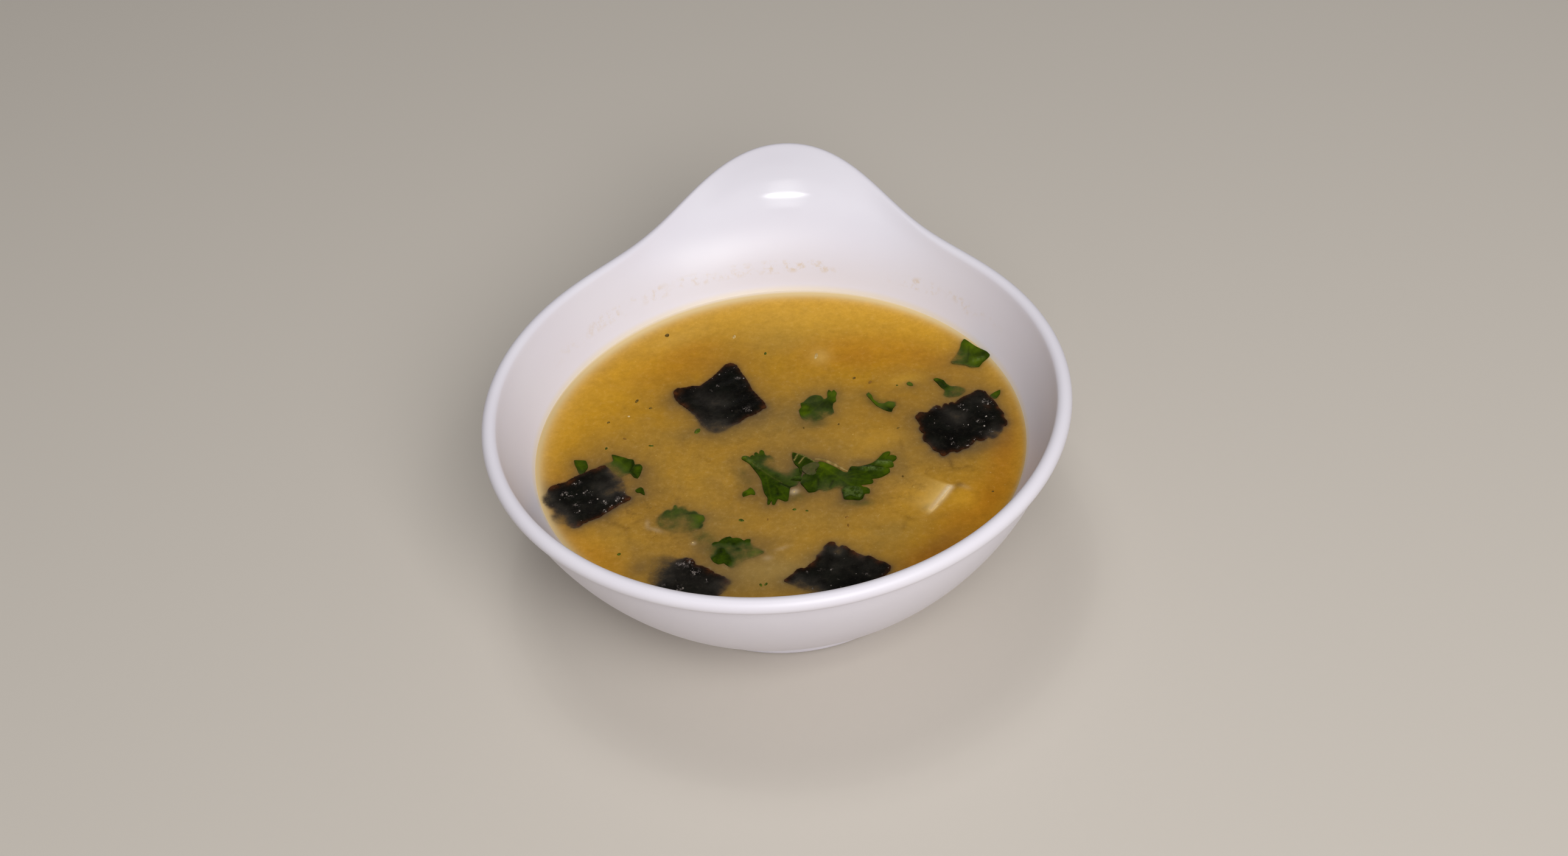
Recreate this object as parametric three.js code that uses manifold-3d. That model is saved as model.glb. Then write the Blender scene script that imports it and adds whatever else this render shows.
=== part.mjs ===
// Miso soup in a white handled bowl, with nori squares, coriander leaves and a cube of tofu.
//
// Millimetres, +Z up. The bowl stands on its foot ring at z = 0 and its handle points along +Y.
// Everything is first drawn about the bowl's own upright axis. At the end the whole is moved
// along -Y by half of the handle's reach, so that the origin is under the middle of the object.

import * as THREE from 'three';
import { mergeVertices } from 'three/addons/utils/BufferGeometryUtils.js';
import Module from 'manifold-3d';

// Bowl: a thin moulded wall with a rolled lip, a foot ring and one handle drawn out of the wall.
const LIP_RADIUS = 60; // to the outside of the lip
const LIP_HEIGHT = 41.8; // middle of the lip above the table
const LIP_THICKNESS = 3.24;
const WALL_RADIUS = 57.8; // outer face of the wall, just under the lip
const WALL_TOP = 39.5; // where the outer face has become upright
const WALL_POLE = -2.75; // where the outer curve would close, under the foot ring
const WALL_SIDE_POWER = 1.33; // shape of the outer curve along its height
const WALL_BELLY_POWER = 2.63; // and across its radius
const BORE_RADIUS = 56.7; // inner face of the wall at the height of the lip
const BORE_POWER = 3.73; // how flat the floor is and how quickly the side steepens
const FLOOR_HEIGHT = 5.6;
const LIP_SHOULDER = 1; // how far below the middle of the lip the inner face begins

// Where the round of the lip starts and ends, in degrees from the outward side of the wall. On
// the round rim it overhangs the wall; along the handle it is the plain rounded edge of the wall.
const LIP_ARC_ON_RIM = [-100, 150];
const LIP_ARC_ON_HANDLE = [-8, 180];

const FOOT_RADIUS = 32.3;
const FOOT_TOP = 4.6; // where the wall grows out of the foot ring
const FOOT_ROUND = 0.8; // rounded edges of the ring
const FOOT_FILLET = 0.6; // where the ring meets the wall
const FOOT_WIDTH = 3.9;
const FOOT_RECESS = 2.5;

const HANDLE_REACH = 20; // beyond the round lip
const HANDLE_RISE = 7.24; // above the round lip
const HANDLE_HALF_WIDTH = 20.9; // degrees round the bowl
const HANDLE_FLANK_POWER = 2.08;
const HANDLE_SKIRT = 0.023; // part of the reach that fades slowly round the bowl
const HANDLE_SKIRT_WIDTH = 60.8; // degrees
const HANDLE_THICKNESS = 3.1;
const HANDLE_START = 30; // height where the wall begins to lean out into the handle

// Soup.
const SOUP_LEVEL = 29.45;
const CLEARANCE = 0.3; // left between pieces that touch
const POCKET_TOP = 4; // above the soup, clear of every topping
const MITRE_LIMIT = 0.6; // keeps the sharp corners of a pocket short

// Nori: torn squares of one thin sheet.
const NORI_THICKNESS = 0.5;
const NORI_TOOTH = 1.9; // length of one tooth of the torn edge
const NORI_TOOTH_DEPTH = 0.35;

// Coriander.
const LEAF_THICKNESS = 0.45;

// Tofu.
const TOFU_SIDE = 8.5;
const TOFU_ROUND = 0.5;
const TOFU_EDGE_START = [35.0, -15.2]; // the one edge that reaches the surface of the soup
const TOFU_EDGE_END = [30.7, -21.7];
const TOFU_EDGE_RISE = 0.2; // of that edge above the soup
const TOFU_TILT = 25; // degrees

// Facets.
const TURNS = 72;
const OUTER_ROWS = 8;
const LIP_ROWS = 7;
const INNER_ROWS = 11;

const wasm = await Module();
wasm.setup();

const radians = THREE.MathUtils.degToRad;

// --- Solids ---------------------------------------------------------------------------------

// A closed mesh as a solid, with the vertices at each place merged into one.
function toSolid(geometry) {
  const bare = geometry.clone();
  bare.deleteAttribute('normal');
  bare.deleteAttribute('uv');
  const merged = mergeVertices(bare, 1e-4);
  return new wasm.Manifold(new wasm.Mesh({
    numProp: 3,
    vertProperties: new Float32Array(merged.attributes.position.array),
    triVerts: new Uint32Array(merged.index.array),
  }));
}

function toGeometry(solid) {
  const { vertProperties, triVerts } = solid.getMesh();
  const geometry = new THREE.BufferGeometry();
  geometry.setAttribute('position', new THREE.BufferAttribute(vertProperties, 3));
  geometry.setIndex(new THREE.BufferAttribute(triVerts, 1));
  geometry.computeVertexNormals();
  return geometry;
}

// A solid turned about Z whose section may change with the angle. sectionAt gives a list of
// [radius, height] points that starts and ends on the axis and keeps the solid on its left.
function turnedGeometry(sectionAt) {
  const sections = [];
  for (let turn = 0; turn < TURNS; turn += 1) {
    sections.push(sectionAt((turn / TURNS) * 2 * Math.PI));
  }
  const rows = sections[0].length;
  const positions = [0, 0, sections[0][0][1]];
  for (let row = 1; row < rows - 1; row += 1) {
    sections.forEach((section, turn) => {
      const angle = (turn / TURNS) * 2 * Math.PI;
      const [radius, height] = section[row];
      positions.push(radius * Math.cos(angle), radius * Math.sin(angle), height);
    });
  }
  positions.push(0, 0, sections[0][rows - 1][1]);

  const at = (row, turn) => 1 + (row - 1) * TURNS + (turn % TURNS);
  const last = positions.length / 3 - 1;
  const index = [];
  for (let turn = 0; turn < TURNS; turn += 1) {
    index.push(0, at(1, turn + 1), at(1, turn));
    for (let row = 1; row < rows - 2; row += 1) {
      index.push(at(row, turn), at(row, turn + 1), at(row + 1, turn));
      index.push(at(row, turn + 1), at(row + 1, turn + 1), at(row + 1, turn));
    }
    index.push(last, at(rows - 2, turn), at(rows - 2, turn + 1));
  }
  const geometry = new THREE.BufferGeometry();
  geometry.setAttribute('position', new THREE.Float32BufferAttribute(positions, 3));
  geometry.setIndex(index);
  geometry.computeVertexNormals();
  return geometry;
}

// An upright prism on an outline of [x, y] points, from the height under(x, y) to over(x, y).
function prismGeometry(outline, under, over) {
  const shape = new THREE.Shape(outline.map(([x, y]) => new THREE.Vector2(x, y)));
  const geometry = new THREE.ExtrudeGeometry(shape, { depth: 1, bevelEnabled: false });
  const { position } = geometry.attributes;
  for (let i = 0; i < position.count; i += 1) {
    const height = position.getZ(i) > 0.5 ? over : under;
    position.setZ(i, height(position.getX(i), position.getY(i)));
  }
  geometry.computeVertexNormals();
  return geometry;
}

// An outline moved outwards by a distance, each corner along its own bisector.
function grow(outline, distance) {
  const points = outline.map(([x, y]) => new THREE.Vector2(x, y));
  const side = THREE.ShapeUtils.isClockWise(points) ? -1 : 1;
  const outward = (from, to) => {
    const along = to.clone().sub(from).normalize();
    return new THREE.Vector2(along.y * side, -along.x * side);
  };
  return points.map((point, i) => {
    const before = points[(i + points.length - 1) % points.length];
    const after = points[(i + 1) % points.length];
    const first = outward(before, point);
    const second = outward(point, after);
    const bisector = first.clone().add(second).normalize();
    const reach = distance / Math.max(bisector.dot(first), MITRE_LIMIT);
    return [point.x + bisector.x * reach, point.y + bisector.y * reach];
  });
}

// --- Bowl -----------------------------------------------------------------------------------

function outerRadius(height) {
  const t = Math.min((height - WALL_POLE) / (WALL_TOP - WALL_POLE), 1);
  return WALL_RADIUS * (1 - (1 - t) ** WALL_SIDE_POWER) ** (1 / WALL_BELLY_POWER);
}

function innerRadius(height) {
  const t = Math.max((height - FLOOR_HEIGHT) / (LIP_HEIGHT - FLOOR_HEIGHT), 0);
  return BORE_RADIUS * t ** (1 / BORE_POWER);
}

function innerHeight(radius) {
  return FLOOR_HEIGHT + (LIP_HEIGHT - FLOOR_HEIGHT) * (radius / BORE_RADIUS) ** BORE_POWER;
}

function innerSlope(radius) {
  return BORE_POWER * (innerHeight(radius) - FLOOR_HEIGHT) / radius;
}

// Rows of facets on the inner face, as radii from near the middle of the floor to the lip.
function innerRows() {
  const topAngle = Math.asin(innerRadius(LIP_HEIGHT - LIP_SHOULDER) / BORE_RADIUS);
  const rows = [];
  for (let i = 1; i <= INNER_ROWS; i += 1) {
    rows.push(BORE_RADIUS * Math.sin((topAngle * i) / INNER_ROWS));
  }
  return rows;
}

// How much of the handle there is at an angle round the bowl: 1 along its middle, 0 far from it.
function handleShare(angle) {
  const fromHandle = Math.abs(Math.atan2(Math.cos(angle), Math.sin(angle)));
  const degrees = THREE.MathUtils.radToDeg(fromHandle);
  const flank = Math.exp(-((degrees / HANDLE_HALF_WIDTH) ** HANDLE_FLANK_POWER));
  const skirt = Math.exp(-((degrees / HANDLE_SKIRT_WIDTH) ** 2));
  return (1 - HANDLE_SKIRT) * flank + HANDLE_SKIRT * skirt;
}

// Middle of the wall at a height, after the handle has drawn it outwards and upwards.
function wallMiddle(height, share) {
  const t = THREE.MathUtils.clamp((height - HANDLE_START) / (LIP_HEIGHT - HANDLE_START), 0, 1);
  const lipOffset = LIP_RADIUS - LIP_THICKNESS / 2 - (WALL_RADIUS + BORE_RADIUS) / 2;
  return new THREE.Vector2(
    (outerRadius(height) + innerRadius(height)) / 2 + (HANDLE_REACH + lipOffset) * share * t ** 3,
    height + HANDLE_RISE * share * Math.sin((Math.PI / 2) * t) ** 1.5,
  );
}

// How far the handle has turned the wall over at a height, in radians.
function wallTurn(height, share) {
  const step = 0.02;
  const lean = (part) => {
    const rise = wallMiddle(height, part).sub(wallMiddle(height - step, part));
    return Math.atan2(rise.y, rise.x);
  };
  return lean(0) - lean(share);
}

// A point on the outer face (side = 1) or the inner face (side = -1) of the wall.
function wallPoint(height, share, side) {
  const t = THREE.MathUtils.clamp((height - HANDLE_START) / (LIP_HEIGHT - HANDLE_START), 0, 1);
  const plain = (outerRadius(height) - innerRadius(height)) / 2;
  const half = THREE.MathUtils.lerp(plain, HANDLE_THICKNESS / 2, share * t);
  const turn = wallTurn(height, share);
  const middle = wallMiddle(height, share);
  return [middle.x + side * half * Math.cos(turn), middle.y - side * half * Math.sin(turn)];
}

// The rounded lip, from under its outside, over its top, to its inner shoulder.
function lipPoints(share) {
  const radius = LIP_THICKNESS / 2;
  const middle = [LIP_RADIUS - radius + HANDLE_REACH * share, LIP_HEIGHT + HANDLE_RISE * share];
  const turn = wallTurn(LIP_HEIGHT, share);
  const [start, end] = LIP_ARC_ON_RIM.map((onRim, i) => (
    radians(THREE.MathUtils.lerp(onRim, LIP_ARC_ON_HANDLE[i], share)) - turn
  ));
  const points = [];
  for (let i = 0; i < LIP_ROWS; i += 1) {
    const angle = start + ((end - start) * i) / (LIP_ROWS - 1);
    points.push([middle[0] + radius * Math.cos(angle), middle[1] + radius * Math.sin(angle)]);
  }
  return points;
}

// Half section of the bowl, from the middle of the recess under it, round the foot ring, up the
// outside, over the lip and down the inside to the middle of the floor.
function bowlSection(angle) {
  const share = handleShare(angle);
  const footInside = FOOT_RADIUS - FOOT_WIDTH;
  const points = [
    [0, FOOT_RECESS],
    [footInside - FOOT_ROUND, FOOT_RECESS],
    [footInside, FOOT_RECESS - FOOT_ROUND],
    [footInside, FOOT_ROUND],
    [footInside + FOOT_ROUND, 0],
    [FOOT_RADIUS - FOOT_ROUND, 0],
    [FOOT_RADIUS, FOOT_ROUND],
    [FOOT_RADIUS, FOOT_TOP - FOOT_FILLET],
  ];
  for (let i = 0; i < OUTER_ROWS; i += 1) {
    const t = i / (OUTER_ROWS - 1);
    points.push(wallPoint(THREE.MathUtils.lerp(FOOT_TOP + FOOT_FILLET, WALL_TOP, t), share, 1));
  }
  points.push(...lipPoints(share));
  for (const radius of innerRows().reverse()) {
    points.push(wallPoint(innerHeight(radius), share, -1));
  }
  points.push([0, FLOOR_HEIGHT]);
  return points;
}

// --- Toppings -------------------------------------------------------------------------------

// A thin sheet lies on a tilted plane: rise is its top above the soup at the sheet's middle,
// slope is how that changes for each millimetre along X and Y.
function sheetTop({ outline, rise, slope }) {
  const middleX = outline.reduce((sum, [x]) => sum + x, 0) / outline.length;
  const middleY = outline.reduce((sum, [, y]) => sum + y, 0) / outline.length;
  return (x, y) => SOUP_LEVEL + rise + slope[0] * (x - middleX) + slope[1] * (y - middleY);
}

// Torn edge: the straight sides of a square broken into teeth, out and in by turns.
function tornOutline(corners) {
  const points = [];
  corners.forEach(([x, y], i) => {
    const [nextX, nextY] = corners[(i + 1) % corners.length];
    const length = Math.hypot(nextX - x, nextY - y);
    const teeth = Math.round(length / NORI_TOOTH);
    points.push([x, y]);
    for (let tooth = 1; tooth < teeth; tooth += 1) {
      const t = tooth / teeth;
      const inward = tooth % 2 === 1 ? NORI_TOOTH_DEPTH : 0;
      points.push([
        x + (nextX - x) * t + ((nextY - y) / length) * inward,
        y + (nextY - y) * t - ((nextX - x) / length) * inward,
      ]);
    }
  });
  return points;
}

// Corners run clockwise, seen from above.
const NORI_SHEETS = {
  nori_back: {
    outline: [[-11.4, 26.6], [-3.2, 11.6], [-13.0, 3.9], [-23.3, 17.9]],
    rise: 0.2,
    slope: [0, 0.02],
  },
  nori_right: {
    outline: [[41.6, 14.2], [47.0, 3.9], [34.4, -5.5], [28.2, 6.9]],
    rise: 0.25,
    slope: [0.01, 0],
  },
  nori_left: {
    outline: [[-36.4, -4.9], [-29.9, -14.8], [-41.2, -23.4], [-44.9, -21.6], [-47.2, -11.6]],
    rise: 0.15,
    slope: [0.01, 0.02],
  },
  nori_front_left: {
    outline: [[-24.0, -32.4], [-16.0, -33.9], [-8.4, -39.6], [-13.4, -46.8], [-21.8, -43.2]],
    rise: 0.1,
    slope: [0.02, 0],
  },
  nori_front_right: {
    outline: [[11.2, -29.7], [23.0, -37.3], [14.4, -47.2], [2.0, -39.9]],
    rise: 0.2,
    slope: [0, 0],
  },
};

// Coriander: each leaf is one thin lobed blade. Outlines run from the tip of one lobe round.
const CORIANDER_LEAVES = {
  coriander_leaf_left: {
    outline: [
      [-7.7, -4.5], [-6.9, -3.7], [-5.0, -2.6], [-3.6, -1.9], [-1.4, -4.6], [-0.8, -7.6],
      [2.6, -8.3], [4.1, -10.6], [3.4, -13.2], [2.6, -14.8], [2.1, -17.6], [0.2, -17.0],
      [-1.5, -18.5], [-2.5, -15.3], [-3.6, -10.8], [-5.6, -7.1],
    ],
    rise: 0.1,
    slope: [-0.03, -0.04],
  },
  coriander_sprig: {
    outline: [
      [2.9, -3.4], [4.9, -4.0], [6.3, -5.1], [8.3, -6.2], [11.6, -8.6], [14.8, -9.2],
      [18.9, -8.1], [20.6, -5.6], [22.7, -4.1], [24.0, -5.8], [23.5, -8.5], [22.5, -10.3],
      [19.2, -11.9], [19.0, -13.3], [17.3, -14.3], [18.4, -15.9], [16.5, -17.9], [13.4, -17.4],
      [13.2, -15.0], [10.5, -14.1], [6.7, -15.2], [5.4, -13.5], [6.2, -11.9], [5.0, -10.2],
      [4.2, -7.9], [3.0, -6.2],
    ],
    rise: 0.3,
    slope: [0.02, -0.02],
  },
  coriander_leaf_back: {
    outline: [
      [3.9, 12.4], [5.3, 13.3], [8.2, 15.0], [9.8, 16.2], [11.6, 16.0], [11.2, 12.4],
      [11.0, 8.9], [9.2, 8.6], [7.2, 6.4], [4.6, 6.9], [3.8, 9.6],
    ],
    rise: -0.1,
    slope: [0.02, 0.02],
  },
  coriander_leaf_rim: {
    outline: [
      [38.7, 30.4], [40.2, 29.2], [42.2, 26.6], [43.2, 24.9], [42.6, 22.8], [40.0, 22.3],
      [36.3, 23.9], [37.9, 27.4],
    ],
    rise: 0.4,
    slope: [0.05, 0.03],
  },
  coriander_leaf_right: {
    outline: [
      [32.6, 18.6], [34.9, 17.4], [35.4, 16.4], [38.3, 15.6], [37.5, 13.4], [34.6, 12.4],
      [34.2, 14.4],
    ],
    rise: 0,
    slope: [-0.05, 0.05],
  },
  coriander_leaf_side: {
    outline: [
      [-35.0, -1.9], [-30.6, -3.4], [-28.3, -5.4], [-29.0, -9.2], [-31.6, -7.6], [-33.6, -6.2],
      [-35.7, -4.4],
    ],
    rise: 0.1,
    slope: [0.04, 0.02],
  },
  coriander_leaf_sunk: {
    outline: [
      [-22.7, -19.7], [-20.6, -17.8], [-18.4, -19.4], [-16.0, -19.8], [-14.6, -22.2],
      [-15.2, -24.4], [-18.4, -25.4], [-21.6, -23.2],
    ],
    rise: -0.3,
    slope: [0.03, 0.05],
  },
  coriander_leaf_front: {
    outline: [
      [-12.3, -29.2], [-9.2, -27.4], [-5.2, -28.2], [-4.6, -30.2], [-2.3, -31.8],
      [-5.3, -33.8], [-8.3, -35.7], [-12.2, -34.2], [-12.4, -31.6],
    ],
    rise: -0.15,
    slope: [-0.02, -0.02],
  },
};

// The cube of tofu hangs in the soup under its one raised edge, turned about it by TOFU_TILT.
function placeTofu(mesh) {
  const start = new THREE.Vector3(...TOFU_EDGE_START, SOUP_LEVEL + TOFU_EDGE_RISE);
  const end = new THREE.Vector3(...TOFU_EDGE_END, SOUP_LEVEL + TOFU_EDGE_RISE);
  const along = end.clone().sub(start).normalize();
  const down = new THREE.Vector3(0, 0, -1).applyAxisAngle(along, radians(TOFU_TILT));
  const across = down.clone().cross(along);
  mesh.setRotationFromMatrix(new THREE.Matrix4().makeBasis(along, across, down));
  mesh.position.copy(start.add(end).multiplyScalar(0.5));
  mesh.position.addScaledVector(across, TOFU_SIDE / 2);
  mesh.position.addScaledVector(down, TOFU_SIDE / 2);
  mesh.updateMatrix();
}

// A cube with softened edges, cut from three crossing prisms of one chamfered square.
function tofuGeometry(side) {
  const half = side / 2;
  const flat = half - TOFU_ROUND;
  const square = [
    [half, flat], [flat, half], [-flat, half], [-half, flat],
    [-half, -flat], [-flat, -half], [flat, -half], [half, -flat],
  ];
  const prism = prismGeometry(square, () => -half, () => half);
  const aboutX = prism.clone().rotateX(Math.PI / 2);
  const aboutY = prism.clone().rotateY(Math.PI / 2);
  return toGeometry(toSolid(prism).intersect(toSolid(aboutX)).intersect(toSolid(aboutY)));
}

// --- Soup -----------------------------------------------------------------------------------

// Half section of the soup: the bowl's inner face moved in by the clearance, up to the level.
function soupSection() {
  const points = [[0, FLOOR_HEIGHT + CLEARANCE]];
  for (const radius of innerRows()) {
    const slope = innerSlope(radius);
    const length = Math.hypot(slope, 1);
    const height = innerHeight(radius) + CLEARANCE / length;
    if (height < SOUP_LEVEL - CLEARANCE) {
      points.push([radius - (CLEARANCE * slope) / length, height]);
    }
  }
  const edge = innerRadius(SOUP_LEVEL);
  points.push([edge - CLEARANCE * Math.hypot(1, 1 / innerSlope(edge)), SOUP_LEVEL]);
  points.push([0, SOUP_LEVEL]);
  return points;
}

// --- Assembly -------------------------------------------------------------------------------

const glaze = { color: 0xe6e3ec, roughness: 0.18, metalness: 0 };
const broth = { color: 0xb08a34, roughness: 0.25, metalness: 0 };
const seaweed = { color: 0x14130f, roughness: 0.4, metalness: 0 };
const herb = { color: 0x2f6a16, roughness: 0.45, metalness: 0 };
const curd = { color: 0xf3ecd9, roughness: 0.5, metalness: 0 };

const group = new THREE.Group();

function addMesh(name, geometry, finish) {
  const mesh = new THREE.Mesh(geometry, new THREE.MeshStandardMaterial(finish));
  mesh.name = name;
  group.add(mesh);
  return mesh;
}

addMesh('bowl', turnedGeometry(bowlSection), glaze);

let soup = toSolid(turnedGeometry(soupSection));

// A sheet, laid in a pocket of the soup that is larger by the clearance all round.
function addSheet(name, sheet, outline, thickness, finish) {
  const top = sheetTop(sheet);
  addMesh(name, prismGeometry(outline, (x, y) => top(x, y) - thickness, top), finish);
  const floor = (x, y) => top(x, y) - thickness - CLEARANCE;
  const ceiling = () => SOUP_LEVEL + POCKET_TOP;
  soup = soup.subtract(toSolid(prismGeometry(grow(outline, CLEARANCE), floor, ceiling)));
}

for (const [name, sheet] of Object.entries(NORI_SHEETS)) {
  addSheet(name, sheet, tornOutline(sheet.outline), NORI_THICKNESS, seaweed);
}
for (const [name, sheet] of Object.entries(CORIANDER_LEAVES)) {
  addSheet(name, sheet, sheet.outline, LEAF_THICKNESS, herb);
}

placeTofu(addMesh('tofu_cube', tofuGeometry(TOFU_SIDE), curd));
const tofuPocket = new THREE.Mesh(tofuGeometry(TOFU_SIDE + 2 * CLEARANCE));
placeTofu(tofuPocket);
soup = soup.subtract(toSolid(tofuPocket.geometry.applyMatrix4(tofuPocket.matrix)));

addMesh('soup', toGeometry(soup), broth);

group.position.y = -HANDLE_REACH / 2;

export default group;
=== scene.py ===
"""Miso soup in a white handled bowl, with nori squares, coriander leaves and a cube of tofu."""

import math

import bmesh
import bpy
import numpy as np
from mathutils import Matrix, Vector
from mathutils.geometry import delaunay_2d_cdt


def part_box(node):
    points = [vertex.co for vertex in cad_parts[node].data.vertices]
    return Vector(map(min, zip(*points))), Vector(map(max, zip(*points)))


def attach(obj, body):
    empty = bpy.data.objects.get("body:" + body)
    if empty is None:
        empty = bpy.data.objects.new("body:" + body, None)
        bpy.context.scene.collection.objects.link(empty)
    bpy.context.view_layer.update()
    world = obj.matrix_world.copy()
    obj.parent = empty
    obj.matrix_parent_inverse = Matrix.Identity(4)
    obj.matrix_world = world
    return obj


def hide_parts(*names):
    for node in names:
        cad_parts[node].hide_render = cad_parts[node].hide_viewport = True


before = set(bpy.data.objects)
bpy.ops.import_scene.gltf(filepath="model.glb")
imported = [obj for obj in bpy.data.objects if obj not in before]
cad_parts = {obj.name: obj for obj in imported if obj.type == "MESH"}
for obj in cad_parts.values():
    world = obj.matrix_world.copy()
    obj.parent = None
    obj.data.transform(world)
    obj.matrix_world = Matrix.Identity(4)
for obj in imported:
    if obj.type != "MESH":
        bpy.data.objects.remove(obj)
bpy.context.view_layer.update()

# --- Table, lamps and camera ------------------------------------------------------------------
# The bowl stands on a pale table. One soft lamp shines over the diner's right shoulder, and another
# with a small bright bulb hangs high above. The diner looks in from the side away from the handle.

MM = 0.001  # metres in a millimetre

TABLE_SIZE = 3.0
TABLE_COLOUR = (0.58, 0.53, 0.47, 1)
TABLE_ROUGHNESS = 0.7

LAMP_AIM = Vector((0, 0, 30)) * MM
SOFT_LAMP_DISTANCE = 1.0
SOFT_LAMP_SIZE = 0.6
SOFT_LAMP_ELEVATION = 42  # degrees
SOFT_LAMP_TURN = 20  # degrees to the right of the diner
SOFT_LAMP_POWER = 8.8
HIGH_LAMP_PLACE = Vector((-62, 111, 990)) * MM
HIGH_LAMP_SIZE = 0.34
HIGH_LAMP_POWER = 1.5
BULB_SIZE = 0.03
BULB_POWER = 0.2
ROOM_LIGHT = 0.17

CAMERA_AIM = Vector((0.83, -5.96, 30.0)) * MM
CAMERA_DISTANCE = 448.6 * MM
CAMERA_TURN = 5.45  # degrees to the right of the diner
CAMERA_ELEVATION = 41.29
CAMERA_ROLL = -5.747
CAMERA_LENS = 49.37
SENSOR_WIDTH = 36
NEAREST_SEEN = 0.02


def towards(turn, elevation):
    """Unit vector out of the bowl, turned to the right of the diner, at an elevation in degrees."""
    turn, elevation = math.radians(turn), math.radians(elevation)
    level = math.cos(elevation)
    return Vector((math.sin(turn) * level, -math.cos(turn) * level, math.sin(elevation)))


table_mesh = bpy.data.meshes.new("table")
reach = TABLE_SIZE / 2
corners = [(-reach, -reach, 0), (reach, -reach, 0), (reach, reach, 0), (-reach, reach, 0)]
table_mesh.from_pydata(corners, [], [(0, 1, 2, 3)])
table = bpy.data.objects.new("table", table_mesh)
bpy.context.scene.collection.objects.link(table)
table_paint = bpy.data.materials.new("table_paint")
table_paint.use_nodes = True
shader = table_paint.node_tree.nodes["Principled BSDF"]
shader.inputs["Base Color"].default_value = TABLE_COLOUR
shader.inputs["Roughness"].default_value = TABLE_ROUGHNESS
table_mesh.materials.append(table_paint)


def hang_lamp(name, place, size, power):
    """A square soft lamp that shines on the bowl."""
    light = bpy.data.lights.new(name, "AREA")
    light.size = size
    light.energy = power
    lamp = bpy.data.objects.new(name, light)
    lamp.location = place
    lamp.rotation_euler = (LAMP_AIM - place).to_track_quat("-Z", "Y").to_euler()
    bpy.context.scene.collection.objects.link(lamp)


soft_place = LAMP_AIM + towards(SOFT_LAMP_TURN, SOFT_LAMP_ELEVATION) * SOFT_LAMP_DISTANCE
hang_lamp("soft_lamp", soft_place, SOFT_LAMP_SIZE, SOFT_LAMP_POWER)
hang_lamp("high_lamp", HIGH_LAMP_PLACE, HIGH_LAMP_SIZE, HIGH_LAMP_POWER)
hang_lamp("bulb", HIGH_LAMP_PLACE, BULB_SIZE, BULB_POWER)

room = bpy.data.worlds.new("room")
room.use_nodes = True
background = room.node_tree.nodes["Background"]
background.inputs["Color"].default_value = (1, 1, 1, 1)
background.inputs["Strength"].default_value = ROOM_LIGHT
bpy.context.scene.world = room
bpy.context.scene.view_settings.view_transform = "Standard"

camera_lens = bpy.data.cameras.new("camera")
camera_lens.lens = CAMERA_LENS
camera_lens.sensor_width = SENSOR_WIDTH
camera_lens.clip_start = NEAREST_SEEN
camera = bpy.data.objects.new("camera", camera_lens)
back = towards(CAMERA_TURN, CAMERA_ELEVATION)
level_right = Vector((0, 0, 1)).cross(back).normalized()
upright = back.cross(level_right)
roll = math.radians(CAMERA_ROLL)
right = level_right * math.cos(roll) + upright * math.sin(roll)
up = upright * math.cos(roll) - level_right * math.sin(roll)
turned = Matrix((right, up, back)).transposed().to_4x4()
camera.matrix_world = Matrix.Translation(CAMERA_AIM + back * CAMERA_DISTANCE) @ turned
bpy.context.scene.collection.objects.link(camera)
bpy.context.scene.camera = camera

# --- Bowl -------------------------------------------------------------------------------------
# One moulding of glossy white melamine: a thin bellied wall on a foot ring, with a rolled lip that
# is drawn out at the back into one broad, rising tongue of a handle. Everything from here on is in
# millimetres about the bowl's own upright axis, in the middle of the frame's soup.

soup_low, soup_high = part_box("soup")
AXIS = np.array([(soup_low.x + soup_high.x) / 2, (soup_low.y + soup_high.y) / 2]) / MM

LIP_RADIUS = 60.0
LIP_HEIGHT = 41.8
LIP_THICKNESS = 3.24
LIP_SHOULDER = 1.0  # how far under the middle of the lip the inner face begins
LIP_ARC_ON_RIM = (-100, 150)  # degrees from the outward side of the wall
LIP_ARC_ON_HANDLE = (-8, 180)
WALL_RADIUS = 57.8
WALL_TOP = 39.5
WALL_POLE = -2.75  # where the outer curve would close, under the foot
WALL_SIDE_POWER = 1.33
WALL_BELLY_POWER = 2.63
BORE_RADIUS = 56.7
BORE_POWER = 3.73
FLOOR_HEIGHT = 5.6
FOOT_RADIUS = 32.3
FOOT_WIDTH = 3.9
FOOT_ROUND = 0.8
FOOT_TOP = 4.6
FOOT_FILLET = 0.6
FOOT_RECESS = 2.5
HANDLE_REACH = 20.0
HANDLE_RISE = 7.24
HANDLE_HALF_WIDTH = 20.9  # degrees round the bowl
HANDLE_FLANK_POWER = 2.08
HANDLE_SKIRT = 0.023  # part of the reach that fades slowly round the bowl
HANDLE_SKIRT_WIDTH = 60.8
HANDLE_THICKNESS = 3.1
HANDLE_START = 30.0  # height where the wall begins to lean out

BOWL_TURNS = 300
BOWL_ROWS = 190
ROW_BEND = 0.14  # radians of bend that are worth one millimetre of length when rows are shared out
NO_BEND = 1e9  # with this, rows are shared out by length alone
SOFTENING = 0.3  # over this length the creases of the mould are rounded
SOFTENING_STEPS = 6  # each way
ROUND_STEPS = 8
LIP_STEPS = 40
WALL_STEPS = 120
BORE_STEPS = 160
BORE_HOLE = 0.5  # radius round the middle of the floor that one cone closes


def handle_share(turn):
    """How much of the handle there is: 1 along its middle, 0 far from it. Radians from +X."""
    away = np.degrees(np.abs(np.arctan2(np.cos(turn), np.sin(turn))))
    flank = np.exp(-((away / HANDLE_HALF_WIDTH) ** HANDLE_FLANK_POWER))
    skirt = np.exp(-((away / HANDLE_SKIRT_WIDTH) ** 2))
    return (1 - HANDLE_SKIRT) * flank + HANDLE_SKIRT * skirt


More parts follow.
